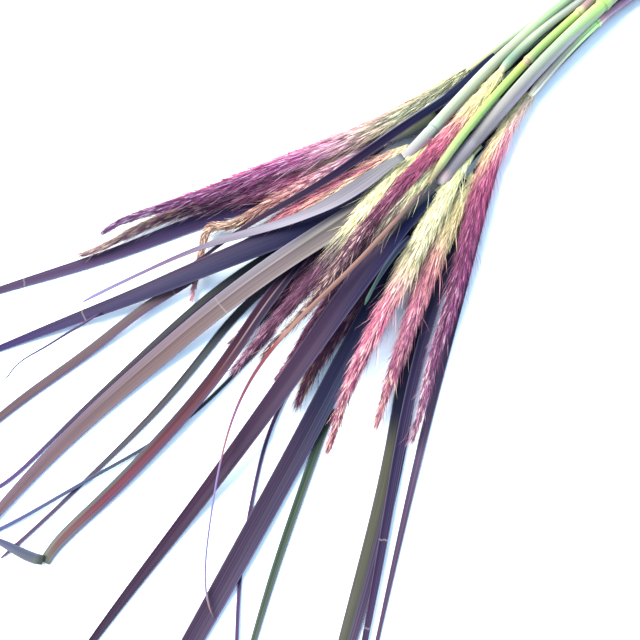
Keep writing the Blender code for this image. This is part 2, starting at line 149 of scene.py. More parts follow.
class Finish:
    # one material and the nodes in it
    def __init__(self, name):
        self.material = bpy.data.materials.new(name)
        self.material.use_nodes = True
        self.tree = self.material.node_tree
        self.tree.nodes.clear()

    def node(self, kind, settings=None, inputs=None, output=0):
        made = self.tree.nodes.new("ShaderNode" + kind)
        for word, value in (settings or {}).items():
            if word == "stops":
                ramp = made.color_ramp
                while len(ramp.elements) < len(value):
                    ramp.elements.new(0.5)
                for stop, (position, colour) in zip(ramp.elements, value):
                    stop.position = position
                    stop.color = colour
            else:
                setattr(made, word, value)
        for socket, value in (inputs or {}).items():
            if isinstance(value, Wire):
                self.tree.links.new(value.socket, made.inputs[socket])
            else:
                made.inputs[socket].default_value = value
        return Wire(self, made.outputs[output]) if len(made.outputs) else None

    def places(self):
        # how far along the piece a point lies, and how far across or round it, from 0 to 1
        spot = self.node("UVMap", {"uv_map": "grain"})
        return [self.node("SeparateXYZ", None, {0: spot}, i) for i in (0, 1)]

    def mark(self, word):
        return self.node("Attribute", {"attribute_name": word}, None, 2)

    def mix(self, amount, first, second):
        settings = {"data_type": "RGBA", "blend_type": "MIX"}
        return self.node("Mix", settings, {0: amount, 6: first, 7: second}, 2)

    def scaled(self, colour, amount):
        first = colour if isinstance(colour, Wire) else colour[:3]
        return self.node("VectorMath", {"operation": "SCALE"}, {0: first, "Scale": amount})

    def ramp(self, place, stops):
        # a colour for each place, or one plain colour where there is a single stop
        coloured = [(spot / 100, seen(colour)) for spot, *colour in stops]
        if len(coloured) == 1:
            return coloured[0][1]
        return self.node("ValToRGB", {"stops": coloured}, {0: place})

    def grain(self, along, across, scale, seed, detail=2.0, rough=0.55):
        long, wide = scale
        vector = self.node("CombineXYZ", None, {0: along * long, 1: across * wide, 2: seed})
        inputs = {"Vector": vector, "Scale": 1.0, "Detail": detail, "Roughness": rough}
        return self.node("TexNoise", None, inputs)

    def finished(self, colour, roughness, height, relief, shine=0.12):
        bump = self.node("Bump", None, {"Strength": 1.0, "Distance": relief, "Height": height})
        inputs = {"Base Color": colour, "Roughness": roughness, "Normal": bump,
                  "Specular IOR Level": shine}
        surface = self.node("BsdfPrincipled", None, inputs)
        self.node("OutputMaterial", None, {"Surface": surface})
        return self.material


def seen(colour):
    # a colour as it looks in this light, turned into the surface's own
    parts = [c / 100 for c in colour]
    linear = [c / 12.92 if c <= 0.04045 else ((c + 0.055) / 1.055) ** 2.4 for c in parts]
    own = [min(light["brightest"], c / gain) for c, gain in zip(linear, light["gain"])]
    return (*own, 1.0)


# What leaves, stems and plumes share: a route's steps between points, its fewest stations, how
# many bends its flowing curve may have, and the millimetres that a route without one is evened.
# A piece's "nearer" is (part of its length, millimetres towards the camera).
routeMake = {"steps": 60, "fewest": 4, "even": 5}
pieceLook = {"bends": 7, "nearer": [(0, 0)]}


def evened(values, reach, rounds=2):
    # a moving average that keeps its ends
    window = numpy.ones(2 * reach + 1) / (2 * reach + 1)
    for _ in range(rounds):
        before = 2 * values[0] - values[reach:0:-1]
        after = 2 * values[-1] - values[-2:-reach - 2:-1]
        values = numpy.convolve(numpy.concatenate((before, values, after)), window, "valid")
    return values


def evenRoute(look, pitch):
    # stations at an even pitch along one flowing curve, and their distances from the root
    points = [numpy.array(p, float) for p in look["route"]]
    points = [2 * points[0] - points[1]] + points + [2 * points[-1] - points[-2]]
    dense = []
    for a, b, c, d in zip(points, points[1:], points[2:], points[3:]):
        for t in numpy.linspace(0, 1, routeMake["steps"], endpoint=False):
            dense.append(0.5 * (2 * b + (c - a) * t + (2 * a - 5 * b + 4 * c - d) * t * t
                                + (3 * b - a - 3 * c + d) * t ** 3))
    dense.append(points[-2])
    dense = numpy.array(dense)
    steps = numpy.linalg.norm(numpy.diff(dense, axis=0), axis=1)
    along = numpy.concatenate(([0], numpy.cumsum(steps)))
    count = max(routeMake["fewest"], round(along[-1] / pitch))
    marks = numpy.linspace(0, along[-1], count + 1)
    lines = [numpy.interp(marks, along, dense[:, i]) for i in (0, 1)]
    if look["bends"]:
        flow = numpy.polynomial.Polynomial
        bends = min(look["bends"], len(points) - 3)
        lines = [flow.fit(marks, line, bends)(marks) for line in lines]
    else:
        lines = [evened(line, round(routeMake["even"] / pitch)) for line in lines]
    return (numpy.stack(lines, axis=1) - table["middle"]) * table["mm"], marks * table["mm"]


def sideways(spots):
    ahead = numpy.gradient(spots, axis=0)
    ahead /= numpy.linalg.norm(ahead, axis=1)[:, None]
    return numpy.stack((-ahead[:, 1], ahead[:, 0]), axis=1)


def broughtNearer(look, marks, spots, middles):
    # moves a line along the camera's sight, so that it keeps its place in the picture
    places, rises = zip(*look["nearer"])
    rise = numpy.interp(marks / marks[-1], places, rises) * table["mm"]
    back = directionOf(view["turn"], view["height"])
    return spots + rise[:, None] * (back.x / back.z, back.y / back.z), middles + rise


solids = {}
for nodeName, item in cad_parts.items():
    corners = [v.co.copy() for v in item.data.vertices]
    solids[nodeName] = BVHTree.FromPolygons(corners, [list(p.vertices) for p in item.data.polygons])


def heights(node, spots, upward=False):
    # the solid's top over each spot, or its underside, or that of its nearest place
    found = []
    for x, y in spots:
        start = Vector((x, y, -table["far"] if upward else table["far"]))
        hit = solids[node].ray_cast(start, Vector((0, 0, 1 if upward else -1)))[0]
        if hit is None:
            hit = solids[node].find_nearest(Vector((x, y, table["near"])))[0]
        found.append(hit.z)
    return numpy.array(found)


def middleLine(look, marks, spots, reach):
    tops = heights(look["node"], spots)
    feet = heights(look["node"], spots, upward=True)
    return broughtNearer(look, marks, spots, evened((tops + feet) / 2, reach, 3))


def grainGrid(bm, across, along):
    # a flat grid with its map: how far along the piece, and how far across it
    bmesh.ops.create_grid(bm, x_segments=across, y_segments=along, size=1)
    grain = bm.loops.layers.uv.new("grain")
    for face in bm.faces:
        for loop in face.loops:
            loop[grain].uv = ((loop.vert.co.y + 1) / 2, (loop.vert.co.x + 1) / 2)
    return grain


def meshFrom(bm, name):
    mesh = bpy.data.meshes.new(name)
    bm.to_mesh(mesh)
    bm.free()
    for face in mesh.polygons:
        face.use_smooth = True
    return mesh


def finishPiece(name, mesh, material, look):
    item = bpy.data.objects.new(name, mesh)
    bpy.context.scene.collection.objects.link(item)
    mesh.materials.append(material)
    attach(item, "root")
    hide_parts(look["node"])
    return item


# Leaf blades: how each is made, in millimetres and parts of its width, and what a blade looks
# like where its own entry doesn't say. A taper is the power and the closing of its outline, and
# a profile is (part of the length, part of the width). The widths and relief of marks on the
# skin are in metres, and a grain's two numbers are how fast it changes along and across.
tapers = {"full": (2.2, 0.8), "even": (1.6, 1.0), "late": (5.0, 0.9)}

leafMake = {
    "pitch": 4.0, "thick": 0.35, "opening": 0.16, "blunt": 0.03,
    "flank": 0.8, "overhang": 1.2,    # where the solid's height is read, and how far it goes on
    "wave": 0.25, "waveEvery": (28, 0.7), "waveFrom": 3,      # full from this half width on
    "ribEvery": 1.35, "ribHigh": 0.10, "ribFrom": 2, "ribChange": 9, "lowest": 0.4,
    "driftGrain": (30, 1.5), "drift": 0.05, "driftShade": 0.2, "waverGrain": (12, 1),
    "veinGrain": (4, 0.8), "veinShade": 1.5, "fibreGrain": (30, 2.2), "fibreShade": 0.8,
    # The rim is a painted highlight, a pale lavender line along both edges of a blade, its width in
    # millimetres; the groove shade is painted shade in the grooves between the ribs.
    "paintedGrooveShadeWeight": 0.10, "rim": 0.3, "edgeHighlightWide": 0.9, "edgeHighlightColour": (74, 70, 86),
    "crack": 0.4, "crackWide": (0.0002, 0.0006), "crackColour": (86, 82, 78),
    "rough": 0.55, "relief": 0.0003,
}

leafLook = {"taper": "full", "root": 0.5, "tip": 0.9, "waver": 0.03, "veins": 0.5, "cracks": ()}


def leafWidths(marks, look):
    t = marks / marks[-1]
    if "profile" in look:
        shape = numpy.interp(t, *zip(*look["profile"]))
    else:
        power, end = tapers[look["taper"]]
        opening = numpy.clip(t / leafMake["opening"], 0, 1) ** 0.8
        opening = look["root"] + (1 - look["root"]) * opening
        shape = opening * numpy.clip(1 - t ** power, 0, 1) ** end
    half = 0.5 * look["width"] * shape
    blunt = leafMake["blunt"]
    slimmest = look["tip"] * numpy.where(t > 1 - blunt, (1 - t) / blunt * 0.7 + 0.3, 1)
    return numpy.maximum(half, slimmest) * table["mm"]


def leafMesh(name, look):
    spots, marks = evenRoute(look, leafMake["pitch"])
    half = leafWidths(marks, look)
    side = sideways(spots)
    flank = leafMake["flank"]
    reach = min(3, len(marks) // 3)
    lines = [heights(look["node"], spots + side * (half * across)[:, None])
             for across in (-flank, 0.0, flank)]
    low, middle, high = (evened(line, reach, 3) for line in lines)
    last = len(marks) - 1
    ribs = max(1, round(look["width"] / leafMake["ribEvery"]))
    ripples, ripplesAcross = leafMake["waveEvery"]
    bm = bmesh.new()
    grainGrid(bm, 4 * ribs, last)
    seed = len(name) * 3.7 + ord(name[0])
    for vert in bm.verts:
        across = vert.co.x
        k = round((vert.co.y + 1) / 2 * last)
        edge = low[k] if across < 0 else high[k]
        z = middle[k] + (edge - middle[k]) * min(leafMake["overhang"], abs(across) / flank)
        ripple = noise.noise(Vector((marks[k] * ripples, across * ripplesAcross + seed, seed)))
        ripple *= abs(across) * min(1, half[k] / (leafMake["waveFrom"] * table["mm"]))
        rib = 0.7 + 0.6 * noise.noise(Vector((across * leafMake["ribChange"], seed, 0)))
        rib *= 0.5 * math.cos(math.pi * (across + 1) * ribs)
        rib *= min(1, half[k] / (leafMake["ribFrom"] * table["mm"]))
        z += (leafMake["wave"] * ripple + leafMake["ribHigh"] * rib) * table["mm"]
        x, y = spots[k] + side[k] * half[k] * across
        vert.co = (x, y, max(z, leafMake["lowest"] * table["mm"]))
    bmesh.ops.recalc_face_normals(bm, faces=bm.faces)
    if sum(face.normal.z for face in bm.faces) < 0:
        bmesh.ops.reverse_faces(bm, faces=bm.faces)
    return meshFrom(bm, name), marks[-1], ribs


def leafFinish(name, look, length, ribs):
    skin = Finish(name)
    along, across = skin.places()
    distance = along * length
    breadth = across * look["width"]
    seed = len(name) + ord(name[2]) * 0.37
    drift = skin.grain(distance, across, leafMake["driftGrain"], seed) - 0.5
    place = along + drift * leafMake["drift"]
    waver = skin.grain(distance, seed, leafMake["waverGrain"], seed) - 0.5
    spread = across + waver * look["waver"]
    bands = look["bands"]
    colour = skin.ramp(spread, bands[0][1:])
    for (start, *_), (end, *stops) in zip(bands, bands[1:]):
        reached = place.rising(start / 100, end / 100)
        colour = skin.mix(reached, colour, skin.ramp(spread, stops))
    veins = skin.grain(distance, breadth, leafMake["veinGrain"], seed, 2.0, 0.6)
    fibres = skin.grain(distance, breadth, leafMake["fibreGrain"], seed + 5, 1.0, 0.5)
    # painted shade: darker in the grooves between the ribs and lighter on their crests, in step
    # with the ribs' shape
    paintedGrooveShade = (across * (2 * math.pi * ribs)).maths("COSINE")
    lines = ((veins - 0.5) * leafMake["veinShade"] + (fibres - 0.5) * leafMake["fibreShade"]
             + paintedGrooveShade * leafMake["paintedGrooveShadeWeight"])
    shade = 1 + lines * look["veins"] + drift * leafMake["driftShade"]
    colour = skin.scaled(colour, shade)
    # painted highlight: a pale lavender line along both edges of the blade
    fromEdge = 0.5 - abs(across - 0.5)
    edge = 1 - fromEdge.rising(0.0, leafMake["edgeHighlightWide"] / look["width"])
    colour = skin.mix(edge * leafMake["rim"], colour, seen(leafMake["edgeHighlightColour"]))
    narrow, wide = leafMake["crackWide"]
    for crack in look["cracks"]:
        line = 1 - abs(along - crack + drift * 0.01).rising(narrow / length, wide / length)
        colour = skin.mix(line * leafMake["crack"], colour, seen(leafMake["crackColour"]))
    rough = leafMake["rough"] - (veins - 0.5) * 0.3
    return skin.finished(colour, rough, veins + fibres * 0.3, leafMake["relief"])


def makeLeaf(name, look):
    look = {**pieceLook, **leafLook, **look}
    mesh, length, ribs = leafMesh(name, look)
    item = finishPiece(name, mesh, leafFinish(name + "Skin", look, length, ribs), look)
    wall = item.modifiers.new("thickness", "SOLIDIFY")
    wall.thickness = leafMake["thick"] * table["mm"]
    wall.offset = -1


leaves = {
    "taupeLeaf": {
        "node": "blade_taupe", "slot": "blade_olive", "width": 11.1, "taper": "late",
        "route": [(34, 90), (39.3, 48.1), (50.8, 19.3), (63.4, -6.7), (81, -40.3), (92.9, -64.2),
            (101.6, -85.5), (107.8, -100.8), (115.2, -116.7), (134, -165), (141, -184)],
        "bands": [
            (0, (0, 14, 12, 25)),
            (35, (0, 12, 12, 24), (100, 16, 13, 30)),
            (45, (0, 44, 45, 38), (45, 42, 42, 36), (55, 30, 25, 40), (100, 28, 22, 40)),
            (100, (0, 47, 46, 42), (48, 45, 44, 40), (52, 33, 42, 32), (58, 40, 34, 42),
                 (100, 36, 28, 42))]},
    "plumRightLeaf": {
        "node": "blade_plum_right", "slot": "blade_purple", "width": 6.5, "cracks": [0.66, 0.8],
        "route": [(22, 110), (34.9, 67.5), (51.3, 26.4), (65.6, -5.5), (76.7, -27.4),
            (89.8, -51.6), (96.7, -64.4), (109.2, -88.9), (121.3, -111.6), (146, -160)],
        "bands": [
            (0, (0, 12, 10, 24)),
            (50, (0, 18, 14, 30), (50, 25, 20, 38), (100, 20, 14, 32)),
            (100, (0, 38, 20, 38), (50, 34, 26, 42), (100, 30, 20, 40))]},
    "purpleRightLeaf": {
        "node": "blade_purple_right", "slot": "blade_purple", "width": 7, "taper": "even",
        "route": [(9, 170), (8.6, 168.2), (16.4, 141.4), (29.2, 109.1), (48.9, 63.8),
            (58.8, 41.2), (75.4, 2), (85.5, -21.6), (95.6, -42.5), (105.6, -63.6), (114.5, -84.4),
            (125.7, -107.9), (150, -158)],
        "bands": [
            (0, (0, 30, 32, 36)),
            (15, (0, 40, 38, 45), (100, 35, 34, 42)),
            (50, (0, 36, 29, 44), (50, 45, 38, 50), (100, 36, 28, 43)),
            (100, (0, 42, 30, 45), (50, 45, 34, 47), (100, 35, 24, 42))]},
    "oliveRightLeaf": {
        "node": "blade_olive_right", "slot": "blade_olive", "width": 4.5,
        "route": [(39, -34.2), (41.3, -42.8), (42.9, -51.2), (51.1, -72), (58, -90.9),
            (65.1, -108.1), (72.2, -125.8), (81.1, -145.2), (103, -196)],
        "bands": [
            (0, (0, 20, 30, 26)),
            (30, (0, 28, 38, 30), (100, 35, 42, 36)),
            (100, (0, 42, 46, 42), (60, 45, 50, 45), (100, 36, 40, 40))]},
    "darkThread": {
        "node": "blade_thread_dark", "slot": "blade_navy", "width": 2, "veins": 0.2,
        "route": [(8.7, -27.1), (14.9, -47.3), (22.5, -71), (33.9, -91.6), (42.5, -106.4),
            (55.7, -127), (64.6, -138.2), (75.1, -150.3), (104, -187)],
        "bands": [(0, (0, 30, 16, 36)), (100, (0, 38, 24, 50))]},
    "greyLeftLeaf": {
        "node": "blade_grey_left", "slot": "blade_olive", "width": 5, "taper": "even",
        "route": [(-32.7, 11.8), (-35.3, -8.1), (-37.8, -22.8), (-35.2, -46.8), (-34.4, -62.6),
            (-33.8, -81.7), (-32.4, -100.5), (-33.4, -119.3), (-33.7, -130.4), (-35.2, -154.9),
            (-36.5, -172.7), (-37.4, -188.5), (-39.1, -197.4)],
        "bands": [
            (0, (0, 15, 16, 28)),
            (30, (0, 22, 24, 30), (50, 34, 36, 36), (100, 24, 27, 29)),
            (60, (0, 38, 35, 40), (50, 42, 38, 40), (100, 30, 27, 33)),
            (100, (0, 44, 30, 48))]},
    "tealThread": {
        "node": "blade_teal_left", "slot": "blade_green", "width": 2, "veins": 0.2,
        "route": [(-14.9, -20.5), (-14.1, -41), (-14.9, -51.3), (-15.5, -64.9), (-17.3, -89.9),
            (-23.8, -113.4), (-27.9, -125.8), (-33.4, -143.1), (-37.9, -157.4), (-44.2, -174.8),
            (-49.8, -187.7), (-61, -216)],
        "bands": [
            (0, (0, 16, 24, 28)),
            (45, (0, 24, 33, 38)),
            (70, (0, 35, 38, 58)),
            (100, (0, 35, 38, 75))]},
    "purpleLeftLeaf": {
        "node": "blade_purple_left", "slot": "blade_purple", "width": 11.5, "cracks": [0.81],
        "route": [(-40, 138), (-47, 105), (-65.4, 50.3), (-89, 11.8), (-100.4, -14.6),
            (-105.6, -25.6), (-124.7, -62.3), (-149, -100.4), (-153, -112), (-170, -140)],
        "bands": [
            (0, (0, 60, 60, 64)),
            (34, (0, 78, 77, 80), (40, 66, 65, 70), (55, 22, 18, 38), (100, 24, 20, 42)),
            (46, (0, 44, 38, 55), (30, 33, 27, 48), (100, 36, 29, 50)),
            (75, (0, 42, 33, 50), (50, 38, 28, 44), (100, 44, 36, 56)),
            (100, (0, 42, 28, 42), (100, 36, 24, 42))]},
    "brownLeftLeaf": {
        "node": "blade_brown_left", "slot": "blade_mauve", "width": 5.5, "taper": "late",
        "cracks": [0.12],
        "route": [(-67.6, -19.1), (-68.5, -30.2), (-71, -38.7), (-74.4, -49.6), (-77.6, -60.6),
            (-81.2, -83.7), (-85.8, -105.7), (-89, -126.6), (-93.3, -149.5), (-96, -174),
            (-105, -197)],
        "bands": [
            (0, (0, 50, 40, 46)),
            (15, (0, 50, 41, 48), (30, 56, 49, 48), (60, 48, 38, 42), (100, 38, 26, 46)),
            (100, (0, 40, 30, 40), (40, 52, 42, 44), (80, 46, 36, 40), (100, 40, 26, 54))]},
    "oliveLeftLeaf": {
        "node": "blade_olive_left", "slot": "blade_olive", "width": 7, "taper": "even",
        "route": [(-20, 72), (-31.5, 46.4), (-40.5, 22), (-46.2, 4.5), (-50.5, -4.3),
            (-53.6, -21.8), (-56.4, -36.1), (-58.7, -52.8), (-59, -75), (-60.8, -92.1),
            (-62.3, -112.1), (-63, -134.5), (-63.2, -161.2), (-66.5, -173.2), (-68, -182)],
        "bands": [
            (0, (0, 14, 18, 32)),
            (20, (0, 20, 26, 34), (60, 18, 26, 32), (100, 10, 10, 28)),
            (40, (0, 36, 38, 38), (60, 33, 34, 34), (75, 16, 12, 30), (100, 26, 12, 34)),
            (70, (0, 40, 36, 40), (60, 36, 30, 36), (100, 28, 16, 36)),
            (100, (0, 48, 34, 64))]},
    "oliveBract": {
        "node": "blade_olive_bract", "slot": "blade_olive", "width": 11.5, "veins": 0.7,
        "route": [(-32, 146.2), (-34.3, 134.1), (-36.3, 124.9), (-38.2, 117.6), (-40.1, 110.5)],
        "bands": [
            (0, (0, 66, 72, 56), (60, 60, 66, 50), (100, 36, 40, 42)),
            (50, (0, 66, 72, 56), (50, 58, 63, 50), (100, 30, 33, 40)),
            (100, (0, 56, 62, 52), (50, 52, 56, 50), (100, 30, 33, 42))]},
    # Its navy root is a sheet of painted shade between the stems, and the pale line along its upper
    # left edge is a painted highlight.
    "plumLeftLeaf": {
        "node": "blade_plum_left", "slot": "blade_purple", "width": 6, "root": 0.9,
        "route": [(-28.2, 203), (-29.3, 190), (-30.8, 176), (-31.6, 162), (-34, 138.5),
            (-38.6, 116.2), (-42.6, 92.1), (-45.7, 67.7), (-53.7, 43.9), (-64.7, 12),
            (-65.8, -1.7), (-78.6, -35.2)],
        "bands": [
            (0, (0, 10, 14, 28)),
            (17, (0, 14, 17, 32), (100, 10, 13, 28)),
            (20, (0, 86, 88, 90), (12, 50, 56, 60), (20, 10, 12, 28), (100, 8, 10, 26)),
            (38, (0, 88, 87, 90), (7, 60, 56, 68), (14, 12, 7, 26), (100, 16, 9, 28)),
            (50, (0, 34, 24, 36), (20, 20, 11, 26), (100, 18, 10, 26)),
            (100, (0, 34, 20, 28), (100, 26, 14, 26))]},
    "maroonLeaf": {
        "node": "blade_maroon_left", "slot": "blade_maroon", "width": 7.5,
        "profile": [(0, 0.5), (0.16, 1), (0.75, 0.95), (0.93, 0.86), (1, 0.7)],
        "route": [(-29.2, 27.8), (-28.9, 9.5), (-26.9, -4.6), (-25.7, -19.8), (-23.5, -40.2),
            (-19.8, -59.3), (-19.2, -77.2), (-19.4, -107.4), (-19.8, -125.8), (-20, -142.2),
            (-21.4, -154.9), (-22.7, -168.1), (-22.2, -178.5), (-20.6, -184.8)],
        "bands": [
            (0, (0, 16, 8, 22)),
            (25, (0, 30, 12, 24), (42, 30, 12, 22), (50, 80, 72, 76), (58, 24, 10, 24),
                 (100, 16, 10, 26)),
            (45, (0, 34, 26, 38), (20, 40, 20, 27), (70, 44, 22, 28), (100, 34, 24, 40)),
            (80, (0, 34, 40, 52), (10, 50, 52, 52), (25, 46, 42, 42), (35, 54, 26, 34),
                 (75, 52, 25, 34), (90, 36, 28, 46)),
            (95, (0, 34, 42, 56), (12, 56, 58, 54), (40, 56, 36, 38), (70, 54, 42, 44),
                 (85, 50, 52, 52), (100, 34, 40, 60)),
            (100, (0, 52, 55, 48))]},
    "navyLeftLeaf": {
        "node": "blade_navy_left", "slot": "blade_navy", "width": 15.5, "taper": "even",
        "veins": 0.8, "cracks": [0.69],
        "route": [(-24, 112), (-26.3, 75.7), (-34.8, 50.3), (-43.2, 25.5), (-54.7, 1.6),
            (-66.7, -22.8), (-78.5, -44.4), (-93.1, -70.6), (-97.5, -80), (-110.2, -101.8),
            (-122.4, -123.7), (-128, -138), (-143, -166)],
        "bands": [
            (0, (0, 10, 9, 28)),
            (25, (0, 15, 13, 30), (100, 13, 12, 31)),
            (38, (0, 30, 24, 36), (50, 28, 26, 40), (100, 20, 18, 36)),
            (50, (0, 32, 23, 34), (40, 30, 27, 42), (100, 24, 22, 40)),
            (65, (0, 28, 20, 36), (50, 30, 25, 42), (100, 28, 22, 44)),
            (100, (0, 34, 22, 52), (100, 30, 20, 60))]},
    "hairLeaf": {
        "node": "blade_hair_left", "slot": "blade_purple", "width": 1.4, "veins": 0.2,
        "tip": 0.35,
        "route": [(-92.5, -74.9), (-93.7, -79.8), (-95.7, -88.3), (-98.9, -98.8), (-101, -107.2),
            (-104.2, -115.8), (-106.1, -122.6), (-105.8, -130.2), (-105.3, -136.2)],
        "bands": [(0, (0, 42, 20, 44)), (50, (0, 26, 22, 42)), (100, (0, 40, 42, 55))]},
    "mauveLeaf": {
        "node": "blade_mauve_left", "slot": "blade_mauve", "width": 13.5, "cracks": [0.4],
        "route": [(-27, 98), (-20.4, 68.2), (-26.4, 44.5), (-32.1, 22.8), (-36.9, 1.4),
            (-42.3, -16.7), (-46.1, -41.7), (-50.2, -63.9), (-54.3, -93.7), (-56.2, -121.3),
            (-57.8, -139.2), (-57.6, -160), (-55.8, -182.1), (-56, -196), (-52, -228)],
        "bands": [
            (0, (0, 42, 40, 46)),
            (16, (0, 30, 32, 34), (20, 60, 58, 60), (30, 78, 76, 74), (36, 46, 44, 44),
                 (80, 60, 56, 56), (100, 74, 72, 70)),
            (30, (0, 84, 82, 88), (8, 72, 69, 74), (28, 64, 60, 64), (34, 82, 78, 78),
                 (40, 54, 47, 50), (90, 62, 56, 57), (100, 76, 71, 69)),
            (50, (0, 66, 60, 74), (8, 66, 57, 61), (28, 62, 53, 57), (34, 72, 64, 66),
                 (40, 50, 40, 42), (90, 58, 48, 48), (100, 55, 46, 58)),
            (100, (0, 48, 40, 64), (10, 56, 44, 50), (38, 57, 45, 51), (44, 64, 54, 60),
                 (50, 48, 36, 43), (90, 54, 42, 47), (100, 50, 42, 72))]},
    "navyRightLeaf": {
        "node": "blade_navy_right", "slot": "blade_navy", "width": 12, "taper": "late",
        "veins": 0.7,
        "route": [(8, 120), (6, 86.4), (14.2, 47.9), (25.7, -10), (29, -23.1), (33.3, -41.3),
            (38.7, -60.5), (43.5, -87.8), (48.1, -113.9), (52.9, -129.5), (55.1, -146.2),
            (59.1, -163.7), (70, -222), (77, -268)],
        "bands": [
            (0, (0, 10, 12, 30)),
            (25, (0, 10, 10, 27), (100, 14, 16, 34)),
            (38, (0, 20, 18, 34), (50, 18, 18, 34), (100, 16, 20, 36)),
            (50, (0, 32, 24, 36), (60, 30, 25, 38), (100, 22, 18, 34)),
            (70, (0, 44, 32, 46), (10, 34, 26, 38), (90, 33, 26, 40), (100, 38, 30, 50)),
            (100, (0, 46, 34, 46), (12, 38, 29, 42), (90, 34, 26, 44), (100, 30, 22, 42))]},
    # Its silvery bands are partly the blade's own pale colour and partly a painted sheen of
    # reflected light.
    "silverLeaf": {
        "node": "blade_silver", "slot": "blade_silver", "width": 13, "veins": 0.7,
        "profile": [(0, 0.34), (0.05, 0.44), (0.09, 0.56), (0.14, 0.66), (0.2, 0.64),
            (0.26, 0.56), (0.32, 0.44), (0.42, 0.38), (0.54, 0.32), (0.63, 0.2), (0.8, 0.14),
            (1, 0.06)],
        "route": [(-22.9, 100.6), (-29.6, 72), (-34.6, 54.1), (-41, 40), (-49.9, 24.9),
            (-59.9, 9.4), (-74.3, -14.2), (-90.1, -45.7), (-104.4, -76.9)],
        "bands": [
            (0, (0, 74, 76, 76), (100, 70, 70, 74)),
            (15, (0, 64, 63, 68), (50, 70, 68, 73), (100, 72, 70, 76)),
            (40, (0, 72, 70, 78), (50, 82, 80, 87), (100, 86, 85, 92)),
            (58, (0, 80, 78, 85), (100, 72, 66, 76)),
            (75, (0, 66, 55, 72)),
            (100, (0, 74, 70, 96))]},
    # The pale grey upper left half of its first bands is a painted highlight on its root.
    "plumCentreLeaf": {
        "node": "blade_plum_centre", "slot": "blade_purple", "width": 13.4, "taper": "even",
        "root": 0.4, "waver": 0.08,
        "route": [(2.6, 99.7), (1.9, 72.6), (3.8, 44.8), (6.3, 17.5), (9, -9), (10.6, -28.9),
            (13.6, -52.9), (15.5, -80.2), (16.4, -103.7), (18, -127.2), (19, -151.8),
            (21.2, -174.6), (23.2, -193.8), (25, -218), (30, -256)],
        "bands": [
            (0, (0, 74, 68, 74), (45, 52, 47, 54), (55, 14, 24, 34), (100, 10, 18, 30)),
            (9, (0, 56, 50, 58), (40, 44, 37, 48), (50, 14, 14, 34), (100, 12, 12, 34)),
            (20, (0, 33, 25, 38), (50, 31, 24, 38), (100, 15, 14, 34)),
            (35, (0, 30, 19, 32), (70, 36, 26, 39), (100, 30, 22, 38)),
            (60, (0, 31, 17, 30), (100, 28, 17, 31)),
            (100, (0, 25, 14, 28), (100, 17, 10, 28))]},
    "maroonLeafTip": {
        "node": "blade_maroon_tip", "slot": "blade_green", "width": 5, "root": 0.9, "veins": 0.3,
        "route": [(-21.9, -184.4), (-27.8, -187.5), (-36.6, -189.9), (-44.4, -192.1),
            (-53.4, -194.6)],
        "bands": [
            (0, (0, 52, 55, 48)),
            (20, (0, 36, 42, 54), (100, 48, 50, 54)),
            (70, (0, 36, 38, 58), (100, 50, 52, 62)),
            (100, (0, 34, 34, 66))]},
    "greenTip": {
        "node": "blade_green_tip", "slot": "blade_green", "width": 3.2, "veins": 0.3,
        "route": [(10.4, 64.7), (11, 46), (16.8, 16.4)],
        "bands": [
            (0, (0, 8, 14, 30)),
            (50, (0, 14, 28, 32), (100, 9, 18, 28)),
            (100, (0, 26, 46, 38))]},
    "tanStrip": {
        "node": "blade_tan_thread", "slot": "blade_tan", "width": 2.8, "taper": "even",
        "veins": 0.4, "tip": 0.45,
        "route": [(-1.3, 97.2), (-1.8, 83), (0.3, 62.7), (-0.5, 47.8), (-0.4, 27.9), (-0.7, 17.3),
            (-2.5, -2.8), (-2.7, -24.1), (-2.3, -38.8), (-1.9, -47.6), (-0.8, -59.8),
            (8.5, -80.9), (13.9, -92), (20.4, -104.2), (29.3, -118.7), (39.9, -133.7),
            (50.5, -144.3), (59.4, -150.3)],
        "bands": [
            (0, (0, 46, 36, 36)),
            (6, (0, 74, 60, 56), (100, 50, 40, 42)),
            (15, (0, 84, 67, 60), (70, 80, 60, 52), (100, 50, 36, 38)),
            (45, (0, 85, 66, 56), (100, 78, 56, 50)),
            (50, (0, 66, 24, 26)),
            (58, (0, 60, 28, 36)),
            (64, (0, 62, 38, 60)),
            (70, (0, 76, 52, 54)),
            (76, (0, 62, 56, 84)),
            (90, (0, 62, 58, 90)),
            (100, (0, 76, 62, 58))]},
}

for leafName, look in leaves.items():
    makeLeaf(leafName, look)
print("leaves made:", len(leaves))


